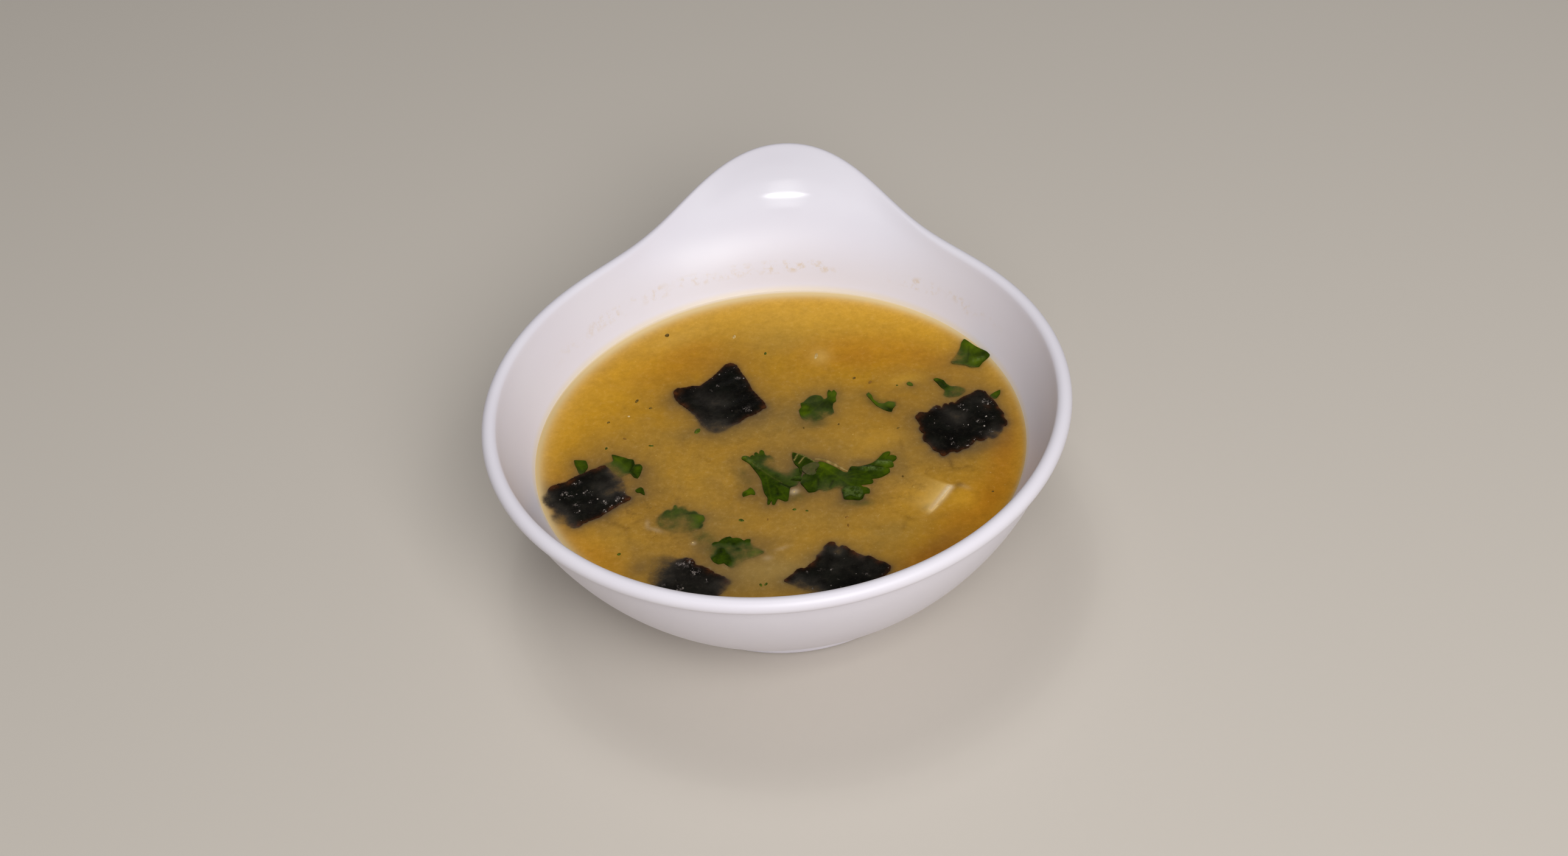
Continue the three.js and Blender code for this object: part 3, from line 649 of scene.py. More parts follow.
# Teeth are the pitch and the depth of the torn edge. Spots are x, y, radius and depth below the
# broth; those of brown and foam have no depth.
NORI_SHEETS = {
    "nori_back": {
        "outline": [
            (-23.4, 17.5), (-22.7, 18.6), (-21.1, 18.6), (-19.2, 19.3), (-17.7, 19.1), (-15.5, 21.6),
            (-14, 23.7), (-12.6, 25.9), (-11.4, 26.5), (-10.2, 25.9), (-8.9, 23), (-7.6, 20.5),
            (-6.4, 17.3), (-5.1, 15.3), (-3.5, 12.7), (-3.1, 11.3), (-3.9, 10.8), (-5.4, 9.3),
            (-7.2, 8.5), (-9, 6.5), (-9.7, 6.4), (-10.8, 5.6), (-11.9, 4.4), (-13.4, 4), (-14.9, 4.6),
            (-16.5, 6.2), (-18.2, 9.6), (-20.3, 12.1), (-21.9, 13.7), (-23, 15.4),
        ],
        "teeth": (1.2, 0.16),
        "sunk": [
            (-13.5, 13.4, 2.4, 0.26), (-14.9, 6, 2.8, 0.42), (-11.3, 4.8, 2.4, 0.42),
            (-17.5, 16.5, 1.6, 0.14), (-17, 14.4, 1.6, 0.12), (-18.5, 9, 2.5, 0.14),
        ],
        "brown": [(-22.6, 17, 1.3), (-11.4, 26, 1.2), (-3.6, 11.5, 0.9), (-21, 12.6, 1.2)],
        "foam": [(-9.7, 21.2, 0.5), (-7.4, 10.9, 0.7), (-15.2, 17.5, 0.3), (-13.8, 18.7, 0.3)],
    },
    "nori_right": {
        "outline": [
            (28.1, 6.5), (29.2, 8), (30, 7.7), (30.8, 7.6), (31.9, 9.4), (32.7, 10), (33.4, 9.7),
            (33.8, 9), (34.2, 10.3), (34.8, 10.5), (35.2, 9.9), (35.5, 10.6), (36.2, 10.7),
            (36.5, 10.2), (37.2, 11.2), (38.1, 12.1), (39.7, 12.9), (40.7, 13.8), (41.3, 14.4),
            (42.3, 14.1), (43.2, 13.7), (43.5, 12.6), (44.2, 11.7), (44.9, 10.5), (45.4, 9.3),
            (45.7, 8.1), (46.2, 7.4), (46.7, 6.4), (46.5, 5.3), (47.1, 4.3), (47.3, 3.5), (46.9, 2.6),
            (46.3, 2.6), (46.1, 1.6), (45.5, 0.6), (44.7, -0.6), (43.9, -1), (43.1, -0.5), (42.2, -1.6),
            (41.4, -1.7), (40.5, -1.3), (40, -2.4), (39.4, -2.9), (38.8, -3.8), (37.9, -3.9),
            (37.3, -4.4), (36.6, -5), (36, -4.6), (35.2, -4.6), (34.6, -5.4), (33.7, -6), (33.1, -5.4),
            (32.9, -4.6), (32.2, -4.4), (31.6, -3.8), (31.3, -2.9), (30.6, -1.7), (29.8, -1.1),
            (29.6, 0.1), (30, 1.1), (29.2, 1.9), (28.9, 2.9), (29.3, 3.6), (28.7, 5.1),
        ],
        "teeth": (1.0, 0.1),
        "sunk": [
            (36.9, 5.8, 2.2, 0.3), (41.2, 11.1, 2.2, 0.12), (43.9, 0.2, 1.6, 0.34),
            (45, 2.7, 1.2, 0.14), (31.8, -2.2, 1.5, 0.1), (34.8, 8.1, 1.5, 0.12), (45.6, 0.5, 1.2, 0.3),
            (32, 9.2, 0.8, 0.15),
        ],
        "brown": [
            (29, 6.7, 1.1), (32.6, 9.6, 0.8), (43, 8.6, 1), (45.6, 8.3, 0.6), (33.7, -5.6, 1),
            (31.6, -3.8, 0.8), (29.2, 2.6, 0.7), (46.6, 5.8, 0.6),
        ],
        "foam": [
            (43.7, 10.5, 0.5), (42.8, 10.4, 0.4), (37.6, 9.4, 0.35), (38.7, 8, 0.4), (32.3, 4, 0.25),
            (34.9, 3.2, 0.25), (38.6, 3, 0.3), (41.2, 4.5, 0.4), (42.5, 4.2, 0.35), (44.3, 5.3, 0.4),
            (36.5, 1.8, 0.25), (41.5, 1, 0.35), (35.5, -0.7, 0.3), (39, -1.3, 0.3), (40.3, -1.4, 0.3),
            (35.8, -2.3, 0.3), (36.7, -3.3, 0.35), (38.8, -3.1, 0.35), (39.7, -2.4, 0.3),
            (43.7, 1.1, 0.5),
        ],
    },
    "nori_left": {
        "outline": [
            (-36.6, -5), (-37.8, -5.8), (-39, -6.4), (-40.2, -7.3), (-41.4, -7.9), (-42.3, -8.4),
            (-43.2, -9.3), (-44, -10), (-45, -10.1), (-46, -10.5), (-47.1, -11.2), (-47.2, -11.8),
            (-47.4, -12.8), (-48, -13.9), (-47.9, -15.5), (-46.9, -17), (-45.7, -17.6), (-45.2, -18.6),
            (-45.5, -19.8), (-45.1, -21), (-44, -21.9), (-42.5, -21.9), (-41.8, -22.6), (-40.8, -23.3),
            (-39.9, -23.2), (-39, -22.3), (-37.9, -21.5), (-36.7, -20.9), (-35.8, -20.5),
            (-35.2, -19.9), (-34.2, -19), (-33.1, -18), (-31.9, -16.9), (-30.9, -16.3), (-30, -15.7),
            (-29.7, -15), (-30.7, -14.5), (-31.2, -13.6), (-31.4, -12), (-31.8, -10.4), (-32.6, -8.9),
            (-33.6, -7.8), (-34.5, -6.8), (-35.2, -6), (-35.9, -5.2),
        ],
        "teeth": (1.3, 0.16),
        "sunk": [
            (-44.6, -20.2, 2.6, 0.5), (-43.4, -21.7, 1.8, 0.4), (-47.6, -14.2, 1.8, 0.42),
            (-46.4, -17.2, 1.6, 0.36), (-34.4, -13, 2.6, 0.32), (-31.9, -12, 1.8, 0.4),
            (-33, -8.4, 1.8, 0.5), (-34.6, -6.8, 1.2, 0.3), (-41, -23, 1.2, 0.25),
            (-36.5, -10.5, 2.5, 0.1), (-38, -18, 2, 0.05),
        ],
        "brown": [
            (-46.3, -10.8, 1.3), (-43.1, -9.6, 1.2), (-37.7, -6, 1.2), (-36.7, -5.3, 1),
            (-39.9, -22.8, 1.2), (-41.1, -23, 1), (-33.4, -18.1, 0.8), (-30.5, -15.6, 1.2),
        ],
        "foam": [
            (-44.6, -9.5, 0.4), (-40.9, -10.1, 0.4), (-41.9, -10.6, 0.4), (-43.6, -13.5, 0.6),
            (-42.4, -14, 0.5), (-39.3, -13.2, 0.5), (-40.8, -16.6, 0.5), (-40.1, -17.1, 0.4),
            (-37.9, -16.1, 0.4), (-32.1, -15.2, 0.6), (-32.2, -16.1, 0.6), (-33.3, -17.7, 0.5),
            (-34.7, -18.9, 0.4), (-40.5, -18.7, 0.4), (-44.6, -18.2, 0.25), (-35, -16.3, 0.5),
        ],
    },
    "nori_front_left": {
        "outline": [
            (-24.2, -32.5), (-21.6, -32.2), (-19, -33.2), (-17.6, -32.9), (-16.4, -33.1), (-15.6, -34),
            (-15.5, -34.9), (-14, -35.4), (-12.6, -36.3), (-11.2, -37.6), (-9.6, -38.4), (-8.2, -39.7),
            (-9.6, -42.4), (-13.4, -46.8), (-17.4, -45.4), (-21.8, -43.2), (-24.4, -38.6),
        ],
        "teeth": (1.4, 0.2),
        "sunk": [
            (-24.5, -32.5, 3.6, 1.1), (-24.2, -37.5, 3.4, 0.7), (-20, -33.2, 2, 0.3),
            (-8.8, -41.4, 2.2, 0.5), (-13.5, -41.2, 3.4, 0.14), (-18.5, -38, 2.6, 0.08),
        ],
        "brown": [(-16.4, -33.4, 1), (-12.5, -36.6, 1), (-8.8, -39.8, 1.2)],
        "foam": [
            (-18, -34.7, 0.9), (-16.9, -34.3, 0.9), (-15.3, -37, 0.8), (-18.2, -41.2, 0.6),
            (-21.4, -40, 0.3), (-13, -39.5, 0.3),
        ],
    },
    "nori_front_right": {
        "outline": [
            (1.9, -40.1), (2.9, -39), (3.9, -38.2), (4.4, -37.3), (5.2, -36.8), (6.2, -36.9),
            (6.9, -35.9), (7.8, -35), (8.3, -34.4), (8.1, -33.6), (8.7, -33), (9, -32.5), (9.5, -31.9),
            (9.6, -31.1), (10.1, -30.6), (10.7, -30), (11.3, -29.8), (11.9, -30.1), (12.1, -30.9),
            (12.7, -31.3), (13.2, -30.8), (14.1, -31.2), (14.9, -32.2), (15.7, -32.6), (16.3, -33.3),
            (17.1, -33.6), (17.7, -34.1), (18.3, -33.9), (19.2, -34.3), (19.8, -35), (20.6, -35.6),
            (21.4, -35.8), (22.1, -36.4), (22.8, -37), (22.7, -38), (20.2, -41.4), (14.4, -47.2),
            (8.4, -43.6), (5, -41.8),
        ],
        "teeth": (1.1, 0.12),
        "sunk": [
            (12.4, -32.4, 1.4, 0.34), (12.7, -36.5, 3.2, 0.12), (19.1, -37.6, 2.6, 0.1),
            (16.6, -34.6, 1.4, 0.14), (8.8, -32.2, 1.3, 0.34), (4.6, -41, 1.8, 0.35),
            (7.6, -43, 2.4, 0.6),
        ],
        "brown": [
            (11.3, -30.2, 0.8), (15.8, -32.8, 1.1), (17, -33.7, 1.1), (8.6, -33.2, 0.7),
            (7.2, -35.7, 0.9), (2.1, -40, 0.9), (14, -31.3, 0.8), (20.6, -35.5, 0.9),
        ],
        "foam": [
            (10.1, -30.9, 0.35), (9.5, -37.6, 0.4), (11.2, -37.5, 0.3), (13.3, -37, 0.2),
            (6.8, -38.3, 0.2), (8.8, -39.4, 0.25), (12.4, -40.2, 0.3), (17.8, -39, 0.4),
            (18.8, -39.3, 0.25), (6.2, -37.9, 0.2),
        ],
    },
}
NORI_GRAIN = 0.3  # between the points of its mesh
NORI_RISE = 0.24  # of its top above the level, where it floats
NORI_UNDER = 0.25  # of its edge below the level
NORI_WAVE = 0.12  # how much it ripples
NORI_WAVES = (3.1, 4.3, 6.2, 8.7)  # lengths of its ripples
NORI_SINKING = 0.25  # depth under the broth at which it lies much flatter
NORI_SHADE = {"near": 0.46, "far": 0.5, "reach": 3.6}  # how it darkens the broth round it
HIDING_DEPTH = 0.6  # of milky broth that hides two thirds of what is under it
BLUR_FOR_DEPTH = 1.9  # how much broader a sunk edge looks for each millimetre of depth
LEAST_RISE = 0.03  # no part of a sheet lies closer to the level
EDGE_CRISP = 0.25  # where a sheet floats, it is seen right up to its edge
EDGE_DEPTH = 0.05  # depth at which that is no longer so
CREASE_ANGLE = math.radians(55)  # a sheet's rim is sharper than this
TORN_STEP = 0.15  # between the points of a torn edge
BROWN_REACH = 1.4  # how far in from the edge brown spots show
BROWN_EDGE, BROWN_EDGE_REACH = 0.55, 0.35  # how brown its very edge is
FROTH_RADIUS = 0.6  # foam spots of this radius and above look white all over
FROTH_WHITE = 0.6
FOAM_ELSEWHERE = 0.012  # share of bubbles away from the foam spots
FOAM_INSET = 0.2  # no bubble sits nearer the edge

NORI_BROWN = paint(78, 42, 18)
NORI_FROTH = paint(150, 138, 132)


def inside_distance(places, outline):
    """How far each place lies inside a closed outline, or outside it where negative."""
    ends = np.roll(outline, -1, axis=0)
    run = ends - outline
    offset = places[:, None] - outline
    along = np.clip((offset * run).sum(-1) / np.maximum((run**2).sum(-1), 1e-12), 0, 1)
    gap = np.hypot(*np.moveaxis(offset - along[..., None] * run, -1, 0)).min(1)
    over = (outline[:, 1] > places[:, None, 1]) != (ends[:, 1] > places[:, None, 1])
    level = np.where(run[:, 1] == 0, 1, run[:, 1])
    crossing = outline[:, 0] + offset[..., 1] / level * run[:, 0]
    within = (over & (places[:, None, 0] < crossing)).sum(1) % 2 == 1
    return np.where(within, gap, -gap)


def bumps(places, spots):
    """Soft round bumps: the highest of them at each place. A spot is x, y, radius and height."""
    result = np.zeros(len(places))
    for x, y, radius, height in spots:
        distance = np.hypot(places[:, 0] - x, places[:, 1] - y)
        result = np.maximum(result, height * np.exp(-((distance / radius) ** 2)))
    return result


def sunk_depth(places, spots):
    """How deep the milky broth lies over a sheet: its sunk and raised spots add up."""
    total = np.zeros(len(places))
    for x, y, radius, depth in spots:
        total += depth * np.exp(-((places[:, 0] - x) ** 2 + (places[:, 1] - y) ** 2) / radius**2)
    return np.maximum(total, 0)


def seen_through(depth, inside):
    """How much of a sheet is seen at a depth and at a distance inside its edge."""
    blur = 0.06 + BLUR_FOR_DEPTH * depth
    return np.exp(-depth / HIDING_DEPTH) / (1 + np.exp(-3 * inside / blur))


def torn(outline, pitch, depth, dice):
    """A closed outline broken into uneven rounded teeth."""
    corners = np.array([*outline, outline[0]], float)
    length = np.concatenate([[0], np.cumsum(np.hypot(*np.diff(corners, axis=0).T))])
    run = np.linspace(0, length[-1], int(length[-1] / TORN_STEP), endpoint=False)
    path = np.column_stack([np.interp(run, length, corners[:, axis]) for axis in (0, 1)])
    for _ in range(4):
        path = (np.roll(path, 1, axis=0) + 2 * path + np.roll(path, -1, axis=0)) / 4
    ahead = np.roll(path, -1, axis=0) - np.roll(path, 1, axis=0)
    inward = np.column_stack([-ahead[:, 1], ahead[:, 0]]) / np.hypot(*ahead.T)[:, None]
    if (path[:, 0] * np.roll(path[:, 1], -1) - path[:, 1] * np.roll(path[:, 0], -1)).sum() < 0:
        inward = -inward
    teeth = dice.uniform(0.6, 1.4, int(length[-1] / pitch))
    starts = np.concatenate([[0], np.cumsum(teeth)]) * length[-1] / teeth.sum()
    tooth = np.clip(np.searchsorted(starts, run, side="right") - 1, 0, len(teeth) - 1)
    through = (run - starts[tooth]) / (starts[tooth + 1] - starts[tooth])
    bite = depth * dice.uniform(0.3, 1.3, len(teeth))[tooth]
    return path + inward * (bite * (1 - np.sin(np.pi * through) ** 0.6))[:, None]


def filled(outline, grain):
    """Places on and inside an outline and the triangles between them, facing up."""
    low, high = outline.min(0), outline.max(0)
    grid = []
    for row, y in enumerate(np.arange(low[1], high[1], grain * math.sqrt(3) / 2)):
        grid += [(x, y) for x in np.arange(low[0] + grain / 2 * (row % 2), high[0], grain)]
    grid = np.array(grid)
    grid = grid[inside_distance(grid, outline) > grain / 2]
    places = [Vector(place) for place in np.vstack([outline, grid])]
    edges = [(i, (i + 1) % len(outline)) for i in range(len(outline))]
    found, _, triangles, *_ = delaunay_2d_cdt(places, edges, [], 1, 1e-6)
    return np.array([tuple(place) for place in found]), [tuple(triangle) for triangle in triangles]


def closed_sheet(places, triangles, top, bottom):
    """Points and faces of a sheet between two heights, closed round its edge."""
    count = len(places)
    points = np.vstack([np.column_stack([places, top]), np.column_stack([places, bottom])])
    faces = list(triangles)
    faces += [(c + count, b + count, a + count) for a, b, c in triangles]
    sides = {side for a, b, c in triangles for side in ((a, b), (b, c), (c, a))}
    faces += [(a, a + count, b + count, b) for a, b in sorted(sides) if (b, a) not in sides]
    return points, faces


def ripples(places, lengths, dice):
    """Gentle waves of several lengths and chance directions, from -1 to 1 or so."""
    result = np.zeros(len(places))
    for length in lengths:
        heading, start = dice.uniform(0, 2 * np.pi, 2)
        way = np.array([math.cos(heading), math.sin(heading)]) * 2 * np.pi / length
        result += np.sin(places @ way + start)
    return result / len(lengths)


seaweed, place = new_finish("wet_nori", IOR=1.4, Specular_IOR_Level=0.08)
lumps = place.noise(1.1, 4, 0.65)
brown = (place.attribute("brown") * (lumps * 3 - 0.7)).clamp()
colour = place.mix(nori_colour(place), NORI_BROWN, brown)
hidden = place.attribute("veil")
colour = seen_in_broth(place, colour, NORI_HAZE, broth_colour(place), hidden)
froth = place.attribute("froth") * place.noise(0.9, 4, 0.7).ramp(0.5, 0.62)
place.mix(colour, NORI_FROTH, froth * FROTH_WHITE).feed("Base Color")
(0.2 + lumps * 0.25).feed("Roughness")
relief = lumps + place.noise(0.35, 3) * 0.5
place.bump(relief * (1 - hidden * 0.9), 0.7, 0.12).feed("Normal")

foam_beds, foam_amounts = [], []
for number, (node, sheet) in enumerate(NORI_SHEETS.items()):
    dice = np.random.default_rng(number + 11)
    outline = torn(sheet["outline"], *sheet["teeth"], dice)
    places, triangles = filled(outline, NORI_GRAIN)
    inside = inside_distance(places, outline)
    depth = sunk_depth(places, sheet["sunk"])
    seen = seen_through(depth, inside + EDGE_CRISP * np.exp(-depth / EDGE_DEPTH))
    rise = (NORI_RISE + NORI_WAVE * ripples(places, NORI_WAVES, dice)) * np.exp(-depth / NORI_SINKING)
    top = surface_height(places) + np.maximum(rise, LEAST_RISE)
    under = np.full(len(top), LEVEL - NORI_UNDER)
    piece = make_piece(node + "_sheet", *closed_sheet(places, triangles, top, under), seaweed)
    piece.data.set_sharp_from_angle(angle=CREASE_ANGLE)
    set_attribute(piece, "veil", 1 - seen)
    brown = bumps(places, [(*spot, 1) for spot in sheet["brown"]]) * np.exp(-inside / BROWN_REACH)
    brown = np.maximum(brown, BROWN_EDGE * np.exp(-inside / BROWN_EDGE_REACH))
    set_attribute(piece, "brown", np.clip(brown, 0, 1))
    froth = [(x, y, radius, min(radius / FROTH_RADIUS, 1)) for x, y, radius in sheet["foam"]]
    set_attribute(piece, "froth", bumps(places, froth))
    foam = bumps(places, [(*spot, 1) for spot in sheet["foam"]]) + FOAM_ELSEWHERE
    foam_beds.append((np.column_stack([places, top]), triangles))
    foam_amounts.append(foam * (inside > FOAM_INSET))
    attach(piece, "root")
    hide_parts(node)
    veiled.append(piece)
    afloat.append({"outline": outline, "sunk": sheet["sunk"], "tint": "dark"} | NORI_SHADE)

# --- Foam on the nori -------------------------------------------------------------------------
# Tiny bubbles of foam that cling to the wet seaweed, thickest along its edges and in small
# clusters. Each is a little glassy dome, half sunk in the film of broth on the sheet.

FOAM_DENSITY = 6e6  # bubbles on a square metre in the thick of a cluster
FOAM_SMALLEST = 0.05  # radius
FOAM_LARGEST = 0.24
FOAM_RARITY = 3.0  # the higher this power, the fewer of the bubbles are large
FOAM_SEED = 7
FOAM_SEGMENTS = 8
FOAM_RINGS = 5

BUBBLE_DARK = paint(70, 64, 60)
BUBBLE_LIGHT = paint(170, 160, 150)


def joined(parts):
    """Several meshes, each its points and its faces, as the points and faces of one."""
    points, faces = [], []
    for part_points, part_faces in parts:
        faces += [tuple(corner + len(points) for corner in face) for face in part_faces]
        points += [*part_points]
    return points, faces


bubble_film, place = new_finish("bubble_film", IOR=1.33, Roughness=0.08, Alpha=0.6)
place.mix(BUBBLE_DARK, BUBBLE_LIGHT, place.noise(0.8, 2).ramp(0.4, 0.6)).feed("Base Color")

foam_bed = make_piece("foam_bed", *joined(foam_beds), bubble_film)
set_attribute(foam_bed, "foam", np.concatenate(foam_amounts))

tree = bpy.data.node_groups.new("foam", "GeometryNodeTree")
sockets = {}
tree.interface.new_socket("Bed", in_out="INPUT", socket_type="NodeSocketGeometry")
for label in ("Density", "Smallest", "Largest", "Seed"):
    kind = "NodeSocketInt" if label == "Seed" else "NodeSocketFloat"
    sockets[label] = tree.interface.new_socket(label, in_out="INPUT", socket_type=kind).identifier
tree.interface.new_socket("Foam", in_out="OUTPUT", socket_type="NodeSocketGeometry")
group = Wire(tree, tree.nodes.new("NodeGroupInput").outputs["Bed"])
inputs = {label: Wire(tree, group.socket.node.outputs[label]) for label in sockets}
thick = group.node("GeometryNodeInputNamedAttribute", {"data_type": "FLOAT"}, {"Name": "foam"})
values = {"Mesh": group, "Density": thick * inputs["Density"], "Seed": inputs["Seed"]}
spread = group.node("GeometryNodeDistributePointsOnFaces", {"distribute_method": "RANDOM"}, values)
values = {"Segments": FOAM_SEGMENTS, "Rings": FOAM_RINGS, "Radius": 1.0}
ball = group.node("GeometryNodeMeshUVSphere", None, values)
dome = group.node("GeometryNodeSetShadeSmooth", None, {"Geometry": ball})
values = {2: 0.0, 3: 1.0, "Seed": inputs["Seed"]}
chance = group.node("FunctionNodeRandomValue", {"data_type": "FLOAT"}, values, 1)
larger = chance.math("POWER", chance, FOAM_RARITY)
size = inputs["Smallest"] + (inputs["Largest"] - inputs["Smallest"]) * larger
values = {"Points": spread, "Instance": dome, "Scale": size}
placed = group.node("GeometryNodeInstanceOnPoints", None, values)
real = group.node("GeometryNodeRealizeInstances", None, {"Geometry": placed})
values = {"Geometry": real, "Material": bubble_film}
finished = group.node("GeometryNodeSetMaterial", None, values)
tree.links.new(finished.socket, tree.nodes.new("NodeGroupOutput").inputs["Foam"])

growth = foam_bed.modifiers.new("foam", "NODES")
growth.node_group = tree
growth[sockets["Density"]] = FOAM_DENSITY
growth[sockets["Smallest"]] = FOAM_SMALLEST * MM
growth[sockets["Largest"]] = FOAM_LARGEST * MM
growth[sockets["Seed"]] = FOAM_SEED
built = foam_bed.evaluated_get(bpy.context.evaluated_depsgraph_get())
grown = bpy.data.meshes.new_from_object(built)
bpy.data.objects.remove(foam_bed)
grown.materials.clear()
grown.materials.append(bubble_film)
bubbles = bpy.data.objects.new("nori_foam", grown)
bpy.context.scene.collection.objects.link(bubbles)
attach(bubbles, "root")

# --- Coriander --------------------------------------------------------------------------------
# Fresh coriander leaves, cut small and stirred in. Each blade is a thin lobed sheet, folded and
# curled a little along its veins; parts of it hang under the milky broth and look veiled.

LEAF_GRAIN = 0.27  # between the points of a blade's mesh
LEAF_RISE = 0.16  # of a blade above the level, where it floats
LEAF_UNDER = 0.25  # of its edge below the level
LEAF_SINKING = 0.3  # depth under the broth at which it lies much flatter
LEAF_CRISP = 0.3  # where a blade floats, it is seen right up to its edge
LEAF_WAVE = 0.06  # how much it ripples
LEAF_WAVES = (2.3, 3.7, 5.1)  # lengths of its ripples
LEAF_THICK = 0.05  # how much the middle of a lobe stands above its edge
LEAF_SHOULDER = 0.5  # how far in from its edge a lobe gets that thick
LEAF_SHADE = {"near": 0.2, "far": 0.42, "reach": 2.8}  # how it darkens the broth round it
RIDGE_HEIGHT, RIDGE_WIDTH = 0.6, 0.5
FOLD_DEPTH, FOLD_WIDTH = 0.2, 0.24
VEIN_DEPTH, VEIN_WIDTH = 0.05, 0.2
RIB_WIDTH = 0.13
RIDGE_FULL_SHEEN = 0.3  # a ridge this high has full painted sheen on it
DARK_SPOT = 0.8  # how dark a spot of strength 1 is, against a crease

LEAF_BRIGHT = paint(80, 98, 2)
LEAF_SHEEN_AND_UNDERSIDE = paint(92, 106, 56)
LEAF_CREASE_SHADE = paint(10, 16, 1)
LEAF_RIB = paint(138, 122, 66)
